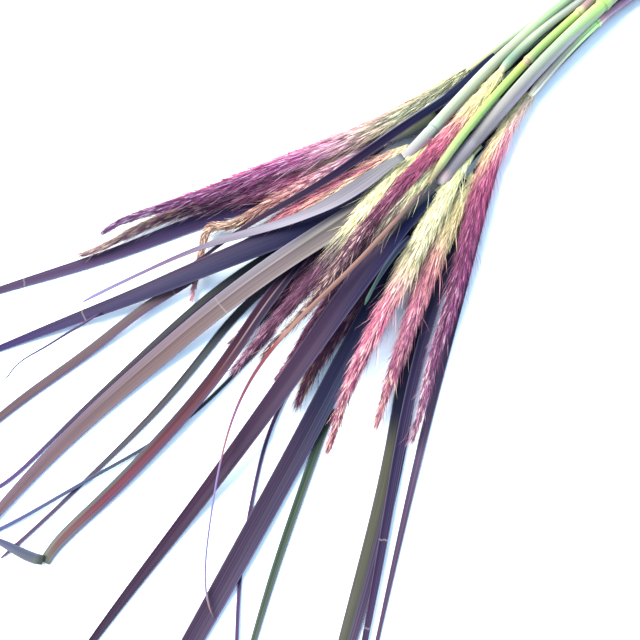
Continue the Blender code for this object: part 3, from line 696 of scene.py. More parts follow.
# Stems: a joint has a lip that swells before it and a waist just past it, a sheath has a free
# edge (its seam) that stands proud, and the root end is a cut hollow straw. Sizes are in
# millimetres and parts of the radius. "split" is where a stem goes into its plume, and "shut"
# is how long and how far its end closes. The upper left band, the flank and the underside line
# are places round the stem where light and shade are painted into its colour.
stemMake = {
    "pitch": 1.8, "around": 20,
    "lip": (3.2, 0.6),                # how long, before the joint and past it
    "waist": (0.08, 1.8, 1.3),        # how deep, how far past the joint, how long
    "closing": 1.5, "flutes": (11, 0.008),
    "hollow": (0.45, 0.004),          # the wall at the root end, and its depth in metres
    "driftGrain": (40, 3), "drift": 0.012, "driftShade": 0.2,
    "fibreGrain": (10, 9), "fibreShade": 0.5,
    # Painted light and shade round the stem, as places round it and how strongly they show: a band
    # on the upper left flank, one on the lower right flank, and a dark painted shade line along the
    # underside.
    "upperLeftShading": (0.34, 0.41), "upperLeftShadingShown": 0.85, "flank": (0.60, 0.70),
    "under": (0.70, 0.77), "underShown": 0.8, "underColour": (13, 16, 24),
    # a painted highlight along a sheath's free edge: where round it, how wide, and its colour
    "seamHighlightAt": 0.008, "seamHighlightWide": (0.006, 0.018), "seamHighlightColour": (86, 86, 90),
    "ring": 0.3, "ringAt": 0.9, "ringWide": (0.0003, 0.001), "ringColour": (30, 28, 24),
    "pithColour": (88, 86, 70), "rough": 0.5, "relief": 0.0003, "shine": 0.2,
}

# A stem's edge is how strongly the painted highlight along its seam shows.
stemLook = {"taper": 0.85, "flare": 0.17, "shut": (9.0, 0.35), "lift": 1.8, "joints": (),
            "seam": 0, "seamTurn": 1.2, "edge": 0.5}


def stemRadii(marks, look):
    radii = look["radius"] * (1 + (look["taper"] - 1) * marks / marks[-1])
    before, after = stemMake["lip"]
    deep, beyond, long = stemMake["waist"]
    for joint in look["joints"]:
        past = marks / table["mm"] - joint
        lip = numpy.exp(-(past / numpy.where(past < 0, before, after)) ** 2)
        waist = numpy.where(past > 0, numpy.exp(-((past - beyond) / long) ** 2), 0)
        radii = radii * (1 + look["flare"] * lip - deep * waist)
    reach, share = look["shut"]
    left = numpy.clip((marks[-1] - marks) / (reach * table["mm"]), 0, 1)
    return radii * (1 - share * (1 - left) ** stemMake["closing"]) * table["mm"]


def stemMesh(name, look):
    spots, marks = evenRoute(look, stemMake["pitch"])
    keep = marks <= look.get("split", marks[-1] / table["mm"]) * table["mm"] + 1e-6
    spots = spots[keep]
    marks = marks[keep]
    side = sideways(spots)
    radii = stemRadii(marks, look)
    spots, middles = middleLine(look, marks, spots, 6)
    centres = [Vector((x, y, max(z, r))) for (x, y), z, r in zip(spots, middles, radii)]
    flutes, fluteHigh = stemMake["flutes"]

    # a grid rolled round the centre line and joined along its underside
    last = len(centres) - 1
    bm = bmesh.new()
    grain = grainGrid(bm, stemMake["around"], last)
    for vert in bm.verts:
        k = round((vert.co.y + 1) / 2 * last)
        angle = math.pi * vert.co.x
        past = (angle - look["seamTurn"]) % (2 * math.pi) / (2 * math.pi)
        step = look["seam"] * (1 - past) ** 3
        swell = radii[k] * (1.0 + step + fluteHigh * math.cos(angle * flutes))
        x, y = side[k] * (math.sin(angle) * swell)
        vert.co = centres[k] + Vector((x, y, math.cos(angle) * swell))
    bmesh.ops.remove_doubles(bm, verts=bm.verts, dist=1e-7)

    # both ends are closed, and the root end is hollowed
    rims = [edge for edge in bm.edges if edge.is_boundary]
    caps = bmesh.ops.holes_fill(bm, edges=rims, sides=0)["faces"]
    bmesh.ops.recalc_face_normals(bm, faces=bm.faces)
    wall, depth = stemMake["hollow"]
    for face in caps:
        atRoot = (face.calc_center_median() - centres[0]).length < radii[0]
        for loop in face.loops:
            loop[grain].uv = (-1.0, 0.5) if atRoot else (1.0, 0.5)
        if not atRoot:
            continue
        inward = face.normal * -depth
        bmesh.ops.inset_individual(bm, faces=[face], thickness=radii[0] * wall)
        pushed = bmesh.ops.extrude_discrete_faces(bm, faces=[face])["faces"]
        bmesh.ops.translate(bm, vec=inward, verts=list({v for f in pushed for v in f.verts}))
    return meshFrom(bm, name), marks[-1]


def stemFinish(name, look, length):
    # round the stem, 0.25 is its upper left flank, 0.5 its top and 0.75 its lower right flank
    skin = Finish(name)
    along, around = skin.places()
    distance = along * length
    seed = ord(name[1]) * 0.61
    drift = skin.grain(distance, around, stemMake["driftGrain"], seed) - 0.5
    place = along + drift * stemMake["drift"]
    colour = skin.ramp(place, look["colours"])
    # painted light on the lower right flank: painted shade on the sage sheath, a lavender painted
    # highlight on the lilac sheath
    if "flank" in look:
        shown = (around + drift * 0.06).rising(*stemMake["flank"])
        colour = skin.mix(shown, colour, skin.ramp(place, look["flank"]))
    # painted light on the upper left flank: a highlight on the sage and lilac sheaths, and on the
    # right sheath the shadow of the stem beside it
    if "upperLeftShading" in look:
        shown = 1 - (around + drift * 0.04).rising(*stemMake["upperLeftShading"])
        shown = shown * stemMake["upperLeftShadingShown"]
        colour = skin.mix(shown, colour, skin.ramp(place, look["upperLeftShading"]))
    # painted shade: a dark navy line along the underside, where the stems touch and shade each
    # other
    under = (around + drift * 0.02).rising(*stemMake["under"])
    colour = skin.mix(under * stemMake["underShown"], colour, seen(stemMake["underColour"]))
    girth = around * look["radius"]
    fibres = skin.grain(distance, girth, stemMake["fibreGrain"], seed, 3.0, 0.6)
    shade = 1.0 + (fibres - 0.5) * stemMake["fibreShade"] + drift * stemMake["driftShade"]
    # painted light: lift brightens the stem's own colour to make up for shade, as a round stem gets
    # less light than a flat leaf, and most on the stems that their neighbours shade
    colour = skin.scaled(colour, shade * look["lift"])
    # painted highlight: a pale line along the sheath's free edge
    if look["seam"]:
        turn = look["seamTurn"] / (2 * math.pi) + 0.5 + stemMake["seamHighlightAt"]
        line = 1 - abs(around - turn).rising(*stemMake["seamHighlightWide"])
        colour = skin.mix(line * look["edge"], colour, seen(stemMake["seamHighlightColour"]))
    narrow, wide = stemMake["ringWide"]
    for joint in look["joints"]:
        ringAt = (joint + stemMake["ringAt"]) * table["mm"] / length
        ring = 1 - abs(along - ringAt).rising(narrow / length, wide / length)
        colour = skin.mix(ring * stemMake["ring"], colour, seen(stemMake["ringColour"]))
    pith = (0 - along).rising(0.4, 0.6)     # only the cut root end has a map below 0
    colour = skin.mix(pith, colour, seen(stemMake["pithColour"]))
    rough = stemMake["rough"] - (fibres - 0.5) * 0.2
    return skin.finished(colour, rough, fibres, stemMake["relief"], stemMake["shine"])


def makeStem(name, look):
    look = {**pieceLook, **stemLook, **look}
    mesh, length = stemMesh(name, look)
    finishPiece(name, mesh, stemFinish(name + "Skin", look, length), look)


# Culms hidden under the others are painted in shade: olive grey at the root, then dark navy, so
# that the gaps between the stems over them read as shadow.
strawCulm = {"slot": "culm_straw", "radius": 1.6, "lift": 1.15, "bends": 9,
             "colours": [(0, 34, 36, 30), (30, 14, 16, 24), (100, 10, 11, 22)]}

stems = {
    "tanLeftCulm": {
        **strawCulm, "node": "stem_tan_left", "split": 291,
        "route": [(-16, 398), (-15.5, 300), (-21.5, 215), (-48.5, 113.9), (-55.4, 89.1),
            (-63.9, 67), (-87.2, 23.9), (-106, -7.5), (-117.9, -36), (-126.7, -57.5)]},
    "bentCulm": {
        **strawCulm, "node": "stem_bent", "split": 302, "bends": 0,
        "route": [(-12.3, 402), (-12, 300), (-17, 215), (-42.5, 110.9), (-50.3, 82.8),
            (-59.3, 52.8), (-67.7, 29.2), (-73.4, 9.8), (-81.9, 5.4), (-83.6, -0.5), (-79.7, -8),
            (-73.4, -18.1), (-68.1, -26.2), (-61.5, -37.5)]},
    "salmonCulm": {
        **strawCulm, "node": "stem_salmon", "split": 290,
        "route": [(-8.6, 398), (-8.3, 300), (-12.5, 215), (-27.2, 113.5), (-35.6, 88.3),
            (-43.4, 60.6), (-54.8, 21.8), (-58.8, 5.3)]},
    "lowLeftCulm": {
        **strawCulm, "node": "stem_low_left", "split": 335,
        "route": [(-4.8, 400), (-4.6, 300), (-8, 215), (-22, 120), (-28.1, 42.3), (-25, 3.9),
            (-25.2, -25), (-26.7, -41.1)]},
    "lowRightCulm": {
        **strawCulm, "node": "stem_low_right", "split": 335,
        "route": [(6.6, 396), (6.6, 300), (3.6, 215), (4, 110), (10.4, 21.9), (13.4, -9.3),
            (17.2, -29.6), (22.7, -44.2)]},
    "roseRightCulm": {
        "node": "stem_rose_right", "slot": "culm_straw", "radius": 1.9, "lift": 1.15,
        "split": 282, "bends": 9,
        "route": [(10.4, 404), (8, 300), (2.8, 272), (1.4, 245.7), (1.8, 211.4), (4.4, 170),
            (9.4, 132), (13.5, 113), (20.7, 87.6), (25.2, 72.9), (34.8, 42), (46.7, 9.8),
            (56.8, -16.6), (60.3, -26.8)],
        "colours": [(0, 44, 36, 42), (50, 40, 38, 42), (70, 30, 30, 36), (100, 22, 24, 32)]},
    "leftSheath": {
        "node": "stem_left", "slot": "sheath_sage", "radius": 2.6, "split": 228, "bends": 9,
        "seam": 0.05, "seamTurn": 2,
        "route": [(-13, 406), (-13, 310), (-19.6, 271.9), (-28.2, 235.5), (-34.3, 196.1),
            (-37.3, 170.9), (-46.3, 129.9), (-56.7, 99.8), (-68.5, 72.6), (-86.8, 32.2),
            (-98.1, 10.8), (-107.4, -4.2), (-125.6, -40.6)],
        "colours": [(0, 56, 60, 52), (55, 62, 74, 58), (70, 66, 80, 62), (84, 62, 72, 58),
            (90, 74, 80, 60), (95, 94, 95, 68), (100, 97, 96, 74)]},
    "paleCulm": {
        **strawCulm, "node": "stem_pale", "split": 288,
        "route": [(-1, 403), (-0.9, 300), (-4.3, 215), (-21.4, 126.1), (-21.5, 111.4),
            (-20.7, 94), (-19.7, 67.7), (-16.4, 41.3), (-15.7, 16.9), (-15.9, -5.5),
            (-14.4, -30.8), (-14.5, -53.8)]},
    "strawCulm": {
        **strawCulm, "node": "stem_straw", "split": 282,
        "route": [(2.8, 400), (2.8, 300), (-0.4, 215), (-9.2, 127.4), (-7.2, 103.2), (-7.1, 86.7),
            (-7.1, 69.9), (-4.5, 44.1), (-1.1, 14.8), (2.5, -8.7), (4, -23.7), (6.5, -41.3)]},
    # Its upper left flank is painted dark as the shadow that the lilac sheath casts on it.
    "rightSheath": {
        "node": "stem_right", "slot": "sheath_sage", "lift": 5, "radius": 3, "split": 212,
        "bends": 9, "joints": (137,), "seam": 0.1, "seamTurn": 0.5, "edge": 0.8,
        "route": [(18, 400), (16, 310), (6.9, 292.9), (4.8, 266.6), (3.9, 228), (6.4, 192.3),
            (5.9, 170.8), (9.5, 150), (21.9, 120.6), (37.2, 83), (54, 41.7), (64.9, 14.8),
            (75.4, -11.1), (80.4, -21.8)],
        "colours": [(0, 46, 38, 44), (50, 44, 34, 44), (60, 52, 42, 48), (63.7, 68, 54, 56),
            (65.2, 62, 87, 50), (70, 64, 80, 52), (78, 60, 66, 52), (88, 60, 60, 54),
            (96, 70, 68, 60), (100, 90, 88, 72)],
        "upperLeftShading": [(0, 26, 22, 36), (60, 24, 24, 34), (80, 16, 18, 28), (100, 46, 46, 42)]},
    "centreSheath": {
        "node": "stem_centre", "slot": "sheath_sage", "lift": 2.8, "radius": 3.4, "split": 215,
        "bends": 9, "seam": 0.06, "seamTurn": 2.2, "nearer": [(0, 2), (0.5, 5), (1, 5)],
        "route": [(-6, 405), (-7.5, 300), (-13.6, 274.2), (-15.8, 257.8), (-17.6, 243),
            (-18.8, 228.6), (-18.4, 211), (-17.9, 192), (-15.6, 152.4), (-11.6, 133.4),
            (-12.5, 95), (-12.6, 65.1), (-8.9, 42.8), (-6.4, 16), (-4.5, -11.1), (-5.8, -38.3)],
        "colours": [(0, 50, 52, 48), (60, 62, 66, 62), (74, 64, 68, 62), (84, 62, 69, 58),
            (90, 50, 58, 49), (95, 43, 54, 48), (98.5, 54, 62, 52), (100, 80, 76, 60)]},
    # Its upper left band and its lavender lower right flank are painted highlights.
    "lilacSheath": {
        "node": "stem_lilac", "slot": "sheath_lilac", "radius": 4.1, "taper": 1, "joints": (128,),
        "seam": 0.09, "seamTurn": 1.1, "shut": (5, 0.45), "nearer": [(0.4, 0), (1, 6)],
        "route": [(7, 402), (5, 310), (2.5, 275.4), (0.7, 263.3), (-0.1, 247.6), (-0.5, 231.9),
            (-1.7, 212), (-2.1, 191.9), (-1.9, 170.2), (-2.4, 152), (-2.3, 138), (-1.5, 122),
            (-0.5, 106.8)],
        "colours": [(0, 54, 46, 50), (40.5, 56, 48, 54), (41.8, 84, 93, 66), (43, 72, 95, 50),
            (47, 70, 88, 54), (54, 66, 79, 62), (62, 64, 71, 63), (73, 63, 63, 63),
            (88, 61, 60, 61), (89, 69, 68, 71), (96.5, 65, 63, 65), (98, 86, 74, 76),
            (100, 95, 92, 92)],
        "upperLeftShading": [(0, 60, 60, 56), (45, 76, 95, 60), (60, 72, 82, 70), (80, 72, 77, 72),
            (100, 76, 76, 76)],
        "flank": [(0, 56, 50, 56), (43, 74, 90, 60), (50, 76, 82, 74), (57, 80, 79, 87),
            (75, 76, 73, 84), (90, 60, 57, 56), (100, 60, 57, 56)]},
    "pinkCulm": {
        "node": "culm_pink", "slot": "culm_lime", "radius": 1.2, "split": 12,
        "route": [(3.5, 142.5), (5.1, 126.3), (5.3, 112.1), (9, 98.3), (15, 67.9), (18.7, 53.1),
            (25.6, 28.1), (31.8, -0.3), (39, -24), (50.9, -54.4)],
        "colours": [(0, 50, 56, 44), (100, 90, 94, 70)]},
    "limeCulm": {
        "node": "stem_lime", "slot": "culm_lime", "lift": 1.3, "nearer": [(0.4, 0), (1, -3.5)],
        "radius": 2.9, "joints": (138, 191), "shut": (16, 0.6),
        "route": [(1, 399), (-1, 310), (-5.3, 275.4), (-6.7, 261.4), (-8.9, 209), (-7.4, 154.2),
            (-4.1, 119.1), (-1.2, 97.4)],
        "colours": [(0, 66, 52, 50), (42, 72, 60, 60), (44.1, 80, 68, 66), (45, 95, 92, 70),
            (46.6, 97, 96, 68), (47.4, 82, 98, 54), (61, 78, 97, 60), (62.6, 84, 93, 68),
            (63.3, 95, 90, 70), (64.4, 94, 80, 70), (64.8, 88, 98, 52), (70, 80, 100, 54),
            (89, 80, 98, 60), (94.5, 86, 93, 66), (96.5, 80, 80, 62), (100, 70, 62, 50)]},
    # Its pale upper left band is a painted highlight, and its darker lower right flank painted
    # shade.
    "sageSheath": {
        "node": "stem_sheath", "slot": "sheath_sage", "lift": 1.75, "flare": 0.05, "radius": 2.8,
        "taper": 1.38, "joints": (272,), "seam": 0.06, "seamTurn": 2.4, "shut": (7, 0.5),
        "nearer": [(0.3, 0), (0.5, -1.5), (1, -2)],
        "route": [(-9, 401), (-9.5, 310), (-16.8, 270.9), (-18.8, 253.5), (-20.9, 234.5),
            (-22.6, 216), (-23.2, 195), (-23.8, 177.2), (-23.4, 150), (-22.4, 130), (-21.6, 117),
            (-22, 107), (-23.3, 95.5)],
        "colours": [(0, 52, 52, 48), (40, 60, 70, 56), (47, 68, 84, 64), (53, 71, 84, 65),
            (62, 73, 78, 66), (73, 73, 78, 66), (86, 70, 75, 66), (88.5, 72, 82, 73),
            (91, 69, 72, 69), (97.5, 66, 64, 67), (98.8, 80, 80, 76), (100, 95, 94, 88)],
        "upperLeftShading": [(0, 66, 66, 62), (50, 80, 90, 78), (60, 86, 88, 94), (85, 82, 86, 90),
            (100, 74, 74, 80)],
        "flank": [(0, 50, 50, 46), (60, 60, 70, 58), (90, 58, 64, 60), (100, 58, 54, 60)]},
}

for stemName, look in stems.items():
    makeStem(stemName, look)
print("stems made:", len(stems))


# Plumes: a slim core, close spirals of spikelets on it, and bristles that lean off its own
# direction. Lengths are in millimetres, leans in degrees, and "at" is how far out on the core
# they start. A count is for 200 mm of plume.
plumeMake = {
    "pitch": 2.0, "core": (5.2, 2.7), "coreSides": 12, "coreAt": 0.75, "coreRough": 0.12,
    "coreShade": 0.3, "slimmest": 0.12, "end": 0.06,
    "swell": (0.16, 0.8),             # the part that widens from the foot, and its power
    "close": (0.6, 0.75),             # the part that narrows to the tip, and its power
    "tuck": 8.0,                      # of the foot, inside its sheath
    "flat": 0.42,                     # height of the brush over its width
    "lift": 2.7,                      # makes up for the light that bristles take from each other
    "countFor": 0.2,
    # Painted shade and light in the brush: how dark the parts with a low shade value get, how much
    # darker past the foot, and how much those with a high one are brightened.
    "inside": 0.62, "insideAbove": 0.36, "paintedLightOutside": 1.15, "fleck": 0.9,
    "dust": 0.14, "dustColour": (62, 50, 54), "fuzz": (900, 40),
    "rough": 0.62, "relief": 0.0001, "shine": 0.1,
}

spikelets = {"count": 800, "at": 0.7, "until": 0.985, "turn": 2.39996, "unsteady": 0.2,
             "lean": (6, 16), "length": (5.0, 8.5), "wide": 0.55}

bristles = {
    "count": 2920, "at": 0.8, "until": 0.99, "crowding": 0.93,
    "lean": (4, 16), "length": (9, 17), "wide": 0.14, "wideRange": (0.7, 1.4),
    "strays": 0.07, "strayLean": (16, 30), "strayLength": 1.3,
    "spread": 0.35, "turning": 0.4, "bend": 0.12, "backwards": 0.6, "curl": 0.05,
    "clearFor": 0.02,                 # metres up and down in which they keep off other pieces
    "tufts": (2.6, 170), "tuftShade": 0.9, "shadeSpread": 0.2,
}

plumeLook = {"share": 0.3, "fullness": 1.0, "foot": 0.5, "long": 1.0, "edges": (0.25, 0.75),
             "paleTo": 0.35}


def spike(sides, cuts):
    # one unit long, pointing along z; cuts are (place, how wide there)
    bm = bmesh.new()
    bmesh.ops.create_cone(bm, cap_ends=True, cap_tris=False, segments=sides, radius1=1.0,
                          radius2=0.05, depth=1.0)
    bmesh.ops.translate(bm, vec=(0, 0, 0.5), verts=bm.verts)
    for place, _ in cuts:
        geometry = bm.verts[:] + bm.edges[:] + bm.faces[:]
        bmesh.ops.bisect_plane(bm, geom=geometry, plane_co=(0, 0, place), plane_no=(0, 0, 1))
    widths = dict([(0.0, 0.55), (1.0, 0.06)] + list(cuts))
    for vert in bm.verts:
        nearest = min(widths, key=lambda place: abs(place - vert.co.z))
        flat = Vector((vert.co.x, vert.co.y)).normalized() * widths[nearest]
        vert.co = (flat.x, flat.y, vert.co.z)
    bmesh.ops.triangulate(bm, faces=bm.faces)
    bm.verts.index_update()
    spots = numpy.array([tuple(v.co) for v in bm.verts])
    faces = numpy.array([[v.index for v in f.verts] for f in bm.faces])
    bm.free()
    return spots, faces


def tubeFaces(sides, count):
    # the triangles of a closed tube with so many rings, its corners counted ring by ring
    bm = bmesh.new()
    bmesh.ops.create_cone(bm, cap_ends=True, cap_tris=False, segments=sides, radius1=1.0,
                          radius2=1.0, depth=2.0)
    upright = [edge for edge in bm.edges if abs(edge.verts[0].co.z - edge.verts[1].co.z) > 1]
    bmesh.ops.subdivide_edges(bm, edges=upright, cuts=count - 2)
    bmesh.ops.triangulate(bm, faces=bm.faces)
    faces = []
    for face in bm.faces:
        rings = [round((v.co.z + 1) / 2 * (count - 1)) for v in face.verts]
        turns = [round(math.atan2(v.co.y, v.co.x) / (2 * math.pi) * sides) for v in face.verts]
        faces.append([ring * sides + turn % sides for ring, turn in zip(rings, turns)])
    bm.free()
    return numpy.array(faces)


bristleSpike = spike(3, [(0.5, 0.7)])
spikeletSpike = spike(5, [(0.3, 1.0), (0.65, 0.75)])


class Bundle:
    # many copies of small spikes gathered into one mesh, each with its own place and shade
    def __init__(self):
        self.spots = []
        self.faces = []
        self.marks = {"along": [], "shade": [], "side": [], "reach": []}
        self.count = 0

    def add(self, spots, faces, **marks):
        self.spots.append(spots)
        self.faces.append(faces + self.count)
        self.count += len(spots)
        for word, values in marks.items():
            self.marks[word].append(values)

    def addSpikes(self, shape, base, ahead, bend, wide, along, shade, side):
        spots, faces = shape
        across = numpy.cross(ahead, (0.0, 0.0, 1.0))
        across /= numpy.linalg.norm(across, axis=1)[:, None]
        over = numpy.cross(ahead, across)
        over /= numpy.linalg.norm(over, axis=1)[:, None]
        x, y, z = (spots[:, i][None, :, None] for i in range(3))
        placed = (base[:, None] + ahead[:, None] * z + bend[:, None] * z * z
                  + (across[:, None] * x + over[:, None] * y) * wide[:, None, None])
        count = len(base)
        repeat = len(spots)
        steps = (numpy.arange(count) * repeat)[:, None, None]
        self.add(placed.reshape(-1, 3), (faces[None] + steps).reshape(-1, 3),
                 along=numpy.repeat(along, repeat), shade=numpy.repeat(shade, repeat),
                 side=numpy.repeat(side, repeat), reach=numpy.tile(spots[:, 2], count))

    def mesh(self, name):
        mesh = bpy.data.meshes.new(name)
        mesh.from_pydata(numpy.concatenate(self.spots), [], numpy.concatenate(self.faces).tolist())
        for word, values in self.marks.items():
            layer = mesh.attributes.new(word, "FLOAT", "POINT")
            layer.data.foreach_set("value", numpy.concatenate(values).astype(numpy.float32))
        mesh.polygons.foreach_set("use_smooth", [True] * len(mesh.polygons))
        return mesh


class PlumeLine:
    # a plume's centre line, and spots round it
    def __init__(self, look):
        spots, marks = evenRoute(look, plumeMake["pitch"])
        start = look.get("start", look["split"] - plumeMake["tuck"]) * table["mm"]
        keep = marks >= start
        self.look = look
        self.marks = marks[keep] - marks[keep][0]
        self.length = self.marks[-1]
        spots, middles = middleLine(look, self.marks, spots[keep], 5)
        self.side = sideways(spots)
        self.centres = numpy.column_stack((spots, middles))
        self.ahead = numpy.gradient(self.centres, axis=0)
        self.ahead /= numpy.linalg.norm(self.ahead, axis=1)[:, None]

    def size(self, place):
        t = place / self.length
        foot = self.look["foot"]
        part, power = plumeMake["swell"]
        swell = foot + (1 - foot) * numpy.clip(t / part, 0, 1) ** power
        part, power = plumeMake["close"]
        close = numpy.clip((1 - t) / part, 0, 1) ** power
        size = swell * (plumeMake["end"] + (1 - plumeMake["end"]) * close)
        return numpy.maximum(size * self.look["fullness"], plumeMake["slimmest"])

    def between(self, values, place):
        columns = [numpy.interp(place, self.marks, column) for column in values.T]
        return numpy.stack(columns, axis=1)

    def ring(self, place, angle, out):
        # spots round the core, out times its radius away, and the way outwards there
        size = self.size(place)
        wide, high = (size * half * table["mm"] * out for half in plumeMake["core"])
        left = self.between(self.side, place)
        outward = numpy.column_stack((left * numpy.cos(angle)[:, None],
                                      numpy.sin(angle) * plumeMake["flat"]))
        rim = numpy.column_stack((left * (numpy.cos(angle) * wide)[:, None],
                                  numpy.sin(angle) * high))
        return self.between(self.centres, place) + rim, outward, size


def addCore(bundle, line, draw):
    sides = plumeMake["coreSides"]
    count = len(line.marks)
    turns = numpy.tile(numpy.linspace(0, 2 * math.pi, sides + 1)[:-1], count)
    places = numpy.repeat(line.marks, sides)
    core, _, _ = line.ring(places, turns, plumeMake["coreAt"])
    core += draw.normal(0, plumeMake["coreRough"] * table["mm"], core.shape)
    shade = draw.random(len(core)) * plumeMake["coreShade"]
    bundle.add(core, tubeFaces(sides, count), along=places / line.length, shade=shade,
               side=numpy.cos(turns), reach=numpy.zeros(len(core)))


def addSpikelets(bundle, line, draw):
    n = int(spikelets["count"] * line.length / plumeMake["countFor"])
    t = (numpy.arange(n) + 0.5) / n
    angle = numpy.arange(n) * spikelets["turn"] + draw.normal(0, spikelets["unsteady"], n)
    place = t * line.length * spikelets["until"]
    base, outward, size = line.ring(place, angle, spikelets["at"])
    lean = numpy.radians(draw.uniform(*spikelets["lean"], n))
    reach = draw.uniform(*spikelets["length"], n) * table["mm"] * (0.5 + 0.5 * size)
    ahead = line.between(line.ahead, place)
    way = ahead * numpy.cos(lean)[:, None] + outward * numpy.sin(lean)[:, None]
    wide = numpy.full(n, spikelets["wide"] * table["mm"]) * (0.6 + 0.4 * size)
    bundle.addSpikes(spikeletSpike, base, way * reach[:, None], numpy.zeros((n, 3)), wide,
                     t, draw.random(n), numpy.cos(angle))


def roomAround(node):
    # the other solids as one tree, so that bristles stay out of what lies over and under them
    corners = []
    faces = []
    for other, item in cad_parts.items():
        if other == node or other.startswith("plume"):
            continue
        first = len(corners)
        corners += [v.co.copy() for v in item.data.vertices]
        faces += [[first + i for i in p.vertices] for p in item.data.polygons]
    return BVHTree.FromPolygons(corners, faces)


def keptClear(room, base, tips):
    # how far each tip is moved up or down to stay between the solids over and under it
    down = Vector((0, 0, -1))
    up = Vector((0, 0, 1))
    gap = table["gap"]
    moved = numpy.zeros(len(tips))
    for i, (x, y, z) in enumerate(tips):
        start = Vector((x, y, base[i, 2]))
        ceiling = room.ray_cast(start, up, bristles["clearFor"])[0]
        floor = room.ray_cast(start, down, bristles["clearFor"])[0]
        high = ceiling.z - gap if ceiling else 1.0
        low = max(floor.z + gap if floor else 0.0, gap)
        moved[i] = max(low, min(high, z)) - z
    return moved


def addBristles(bundle, line, draw):
    look = line.look
    n = int(bristles["count"] * line.length / plumeMake["countFor"])
    t = numpy.sort(draw.random(n)) ** bristles["crowding"]
    angle = draw.uniform(0, 2 * math.pi, n)
    place = t * line.length * bristles["until"]
    base, outward, size = line.ring(place, angle, bristles["at"])
    stray = draw.random(n) < bristles["strays"]
    strayLean = draw.uniform(*bristles["strayLean"], n)
    lean = numpy.radians(numpy.where(stray, strayLean, draw.uniform(*bristles["lean"], n)))
    reach = draw.uniform(*bristles["length"], n) * table["mm"] * (0.4 + 0.6 * size)
    reach *= numpy.where(stray, bristles["strayLength"], 1.0) * look["long"]
    past = numpy.minimum(place + reach * numpy.cos(lean), line.length)
    turned = line.between(line.ahead, past)
    turning = bristles["turning"]
    ahead = line.between(line.ahead, place) * (1 - turning) + turned * turning
    out = outward + draw.normal(0, bristles["spread"], (n, 3)) * (1, 1, plumeMake["flat"])
    way = ahead * numpy.cos(lean)[:, None] + out * numpy.sin(lean)[:, None]
    way = way * reach[:, None]
    curl = draw.normal(0, bristles["curl"], (n, 3)) * reach[:, None] * (1, 1, 0.5)
    bend = (turned - out * bristles["backwards"]) * (reach * bristles["bend"])[:, None] + curl
    bend[:, 2] += keptClear(roomAround(look["node"]), base, base + way + bend)
    turnwise, lengthwise = bristles["tufts"]
    tufts = [noise.noise(Vector((a * turnwise, p * lengthwise, look["seed"])))
             for a, p in zip(angle, place)]
    shade = 0.5 + numpy.array(tufts) * bristles["tuftShade"]
    shade = numpy.clip(shade + draw.normal(0, bristles["shadeSpread"], n), 0, 1)
    wide = numpy.full(n, bristles["wide"] * table["mm"]) * draw.uniform(*bristles["wideRange"], n)
    bundle.addSpikes(bristleSpike, base, way, bend, wide, t, shade, numpy.cos(angle))


def plumeFinish(name, look):
    # painted shade and light: parts with a low shade value, the core among them, are darkened as
    # the shade deep in the brush, more so past the foot, and those with a high one brightened;
    # flecked where pale bristles show
    skin = Finish(name)
    along, shade, side, reach = (skin.mark(word) for word in ("along", "shade", "side", "reach"))
    across = side * 0.5 + 0.5
    body = skin.ramp(along, look["left"])
    if "right" in look:
        body = skin.mix(across.rising(*look["edges"]), body, skin.ramp(along, look["right"]))
    inside = plumeMake["inside"] - along.rising(0.1, look["paleTo"]) * plumeMake["insideAbove"]
    depth = inside + (plumeMake["paintedLightOutside"] - inside) * shade.rising(0.0, 0.6)
    body = skin.scaled(body, depth)
    share = look["share"]
    pale = shade.rising(1 - share, 1 - share * 0.5) * (0.6 + 0.4 * reach)
    body = skin.mix(pale * plumeMake["fleck"], body, skin.ramp(along, look["flecks"]))
    body = skin.mix(plumeMake["dust"], body, seen(plumeMake["dustColour"]))
    body = skin.scaled(body, plumeMake["lift"])
    fuzz = skin.grain(along, across, plumeMake["fuzz"], 3.0)
    rough = plumeMake["rough"] - (fuzz - 0.5) * 0.2
    return skin.finished(body, rough, fuzz, plumeMake["relief"], plumeMake["shine"])


def makePlume(name, look):
    culm = {**pieceLook, **stems[look["culm"]]}
    shared = {word: culm[word] for word in ("route", "split", "bends")}
    look = {**pieceLook, **plumeLook, **shared, **look}
    draw = numpy.random.default_rng(look["seed"])
    line = PlumeLine(look)
    bundle = Bundle()
    addCore(bundle, line, draw)
    addSpikelets(bundle, line, draw)
    addBristles(bundle, line, draw)
    finishPiece(name, bundle.mesh(name), plumeFinish(name + "Bristles", look), look)
    print("plume made:", name)


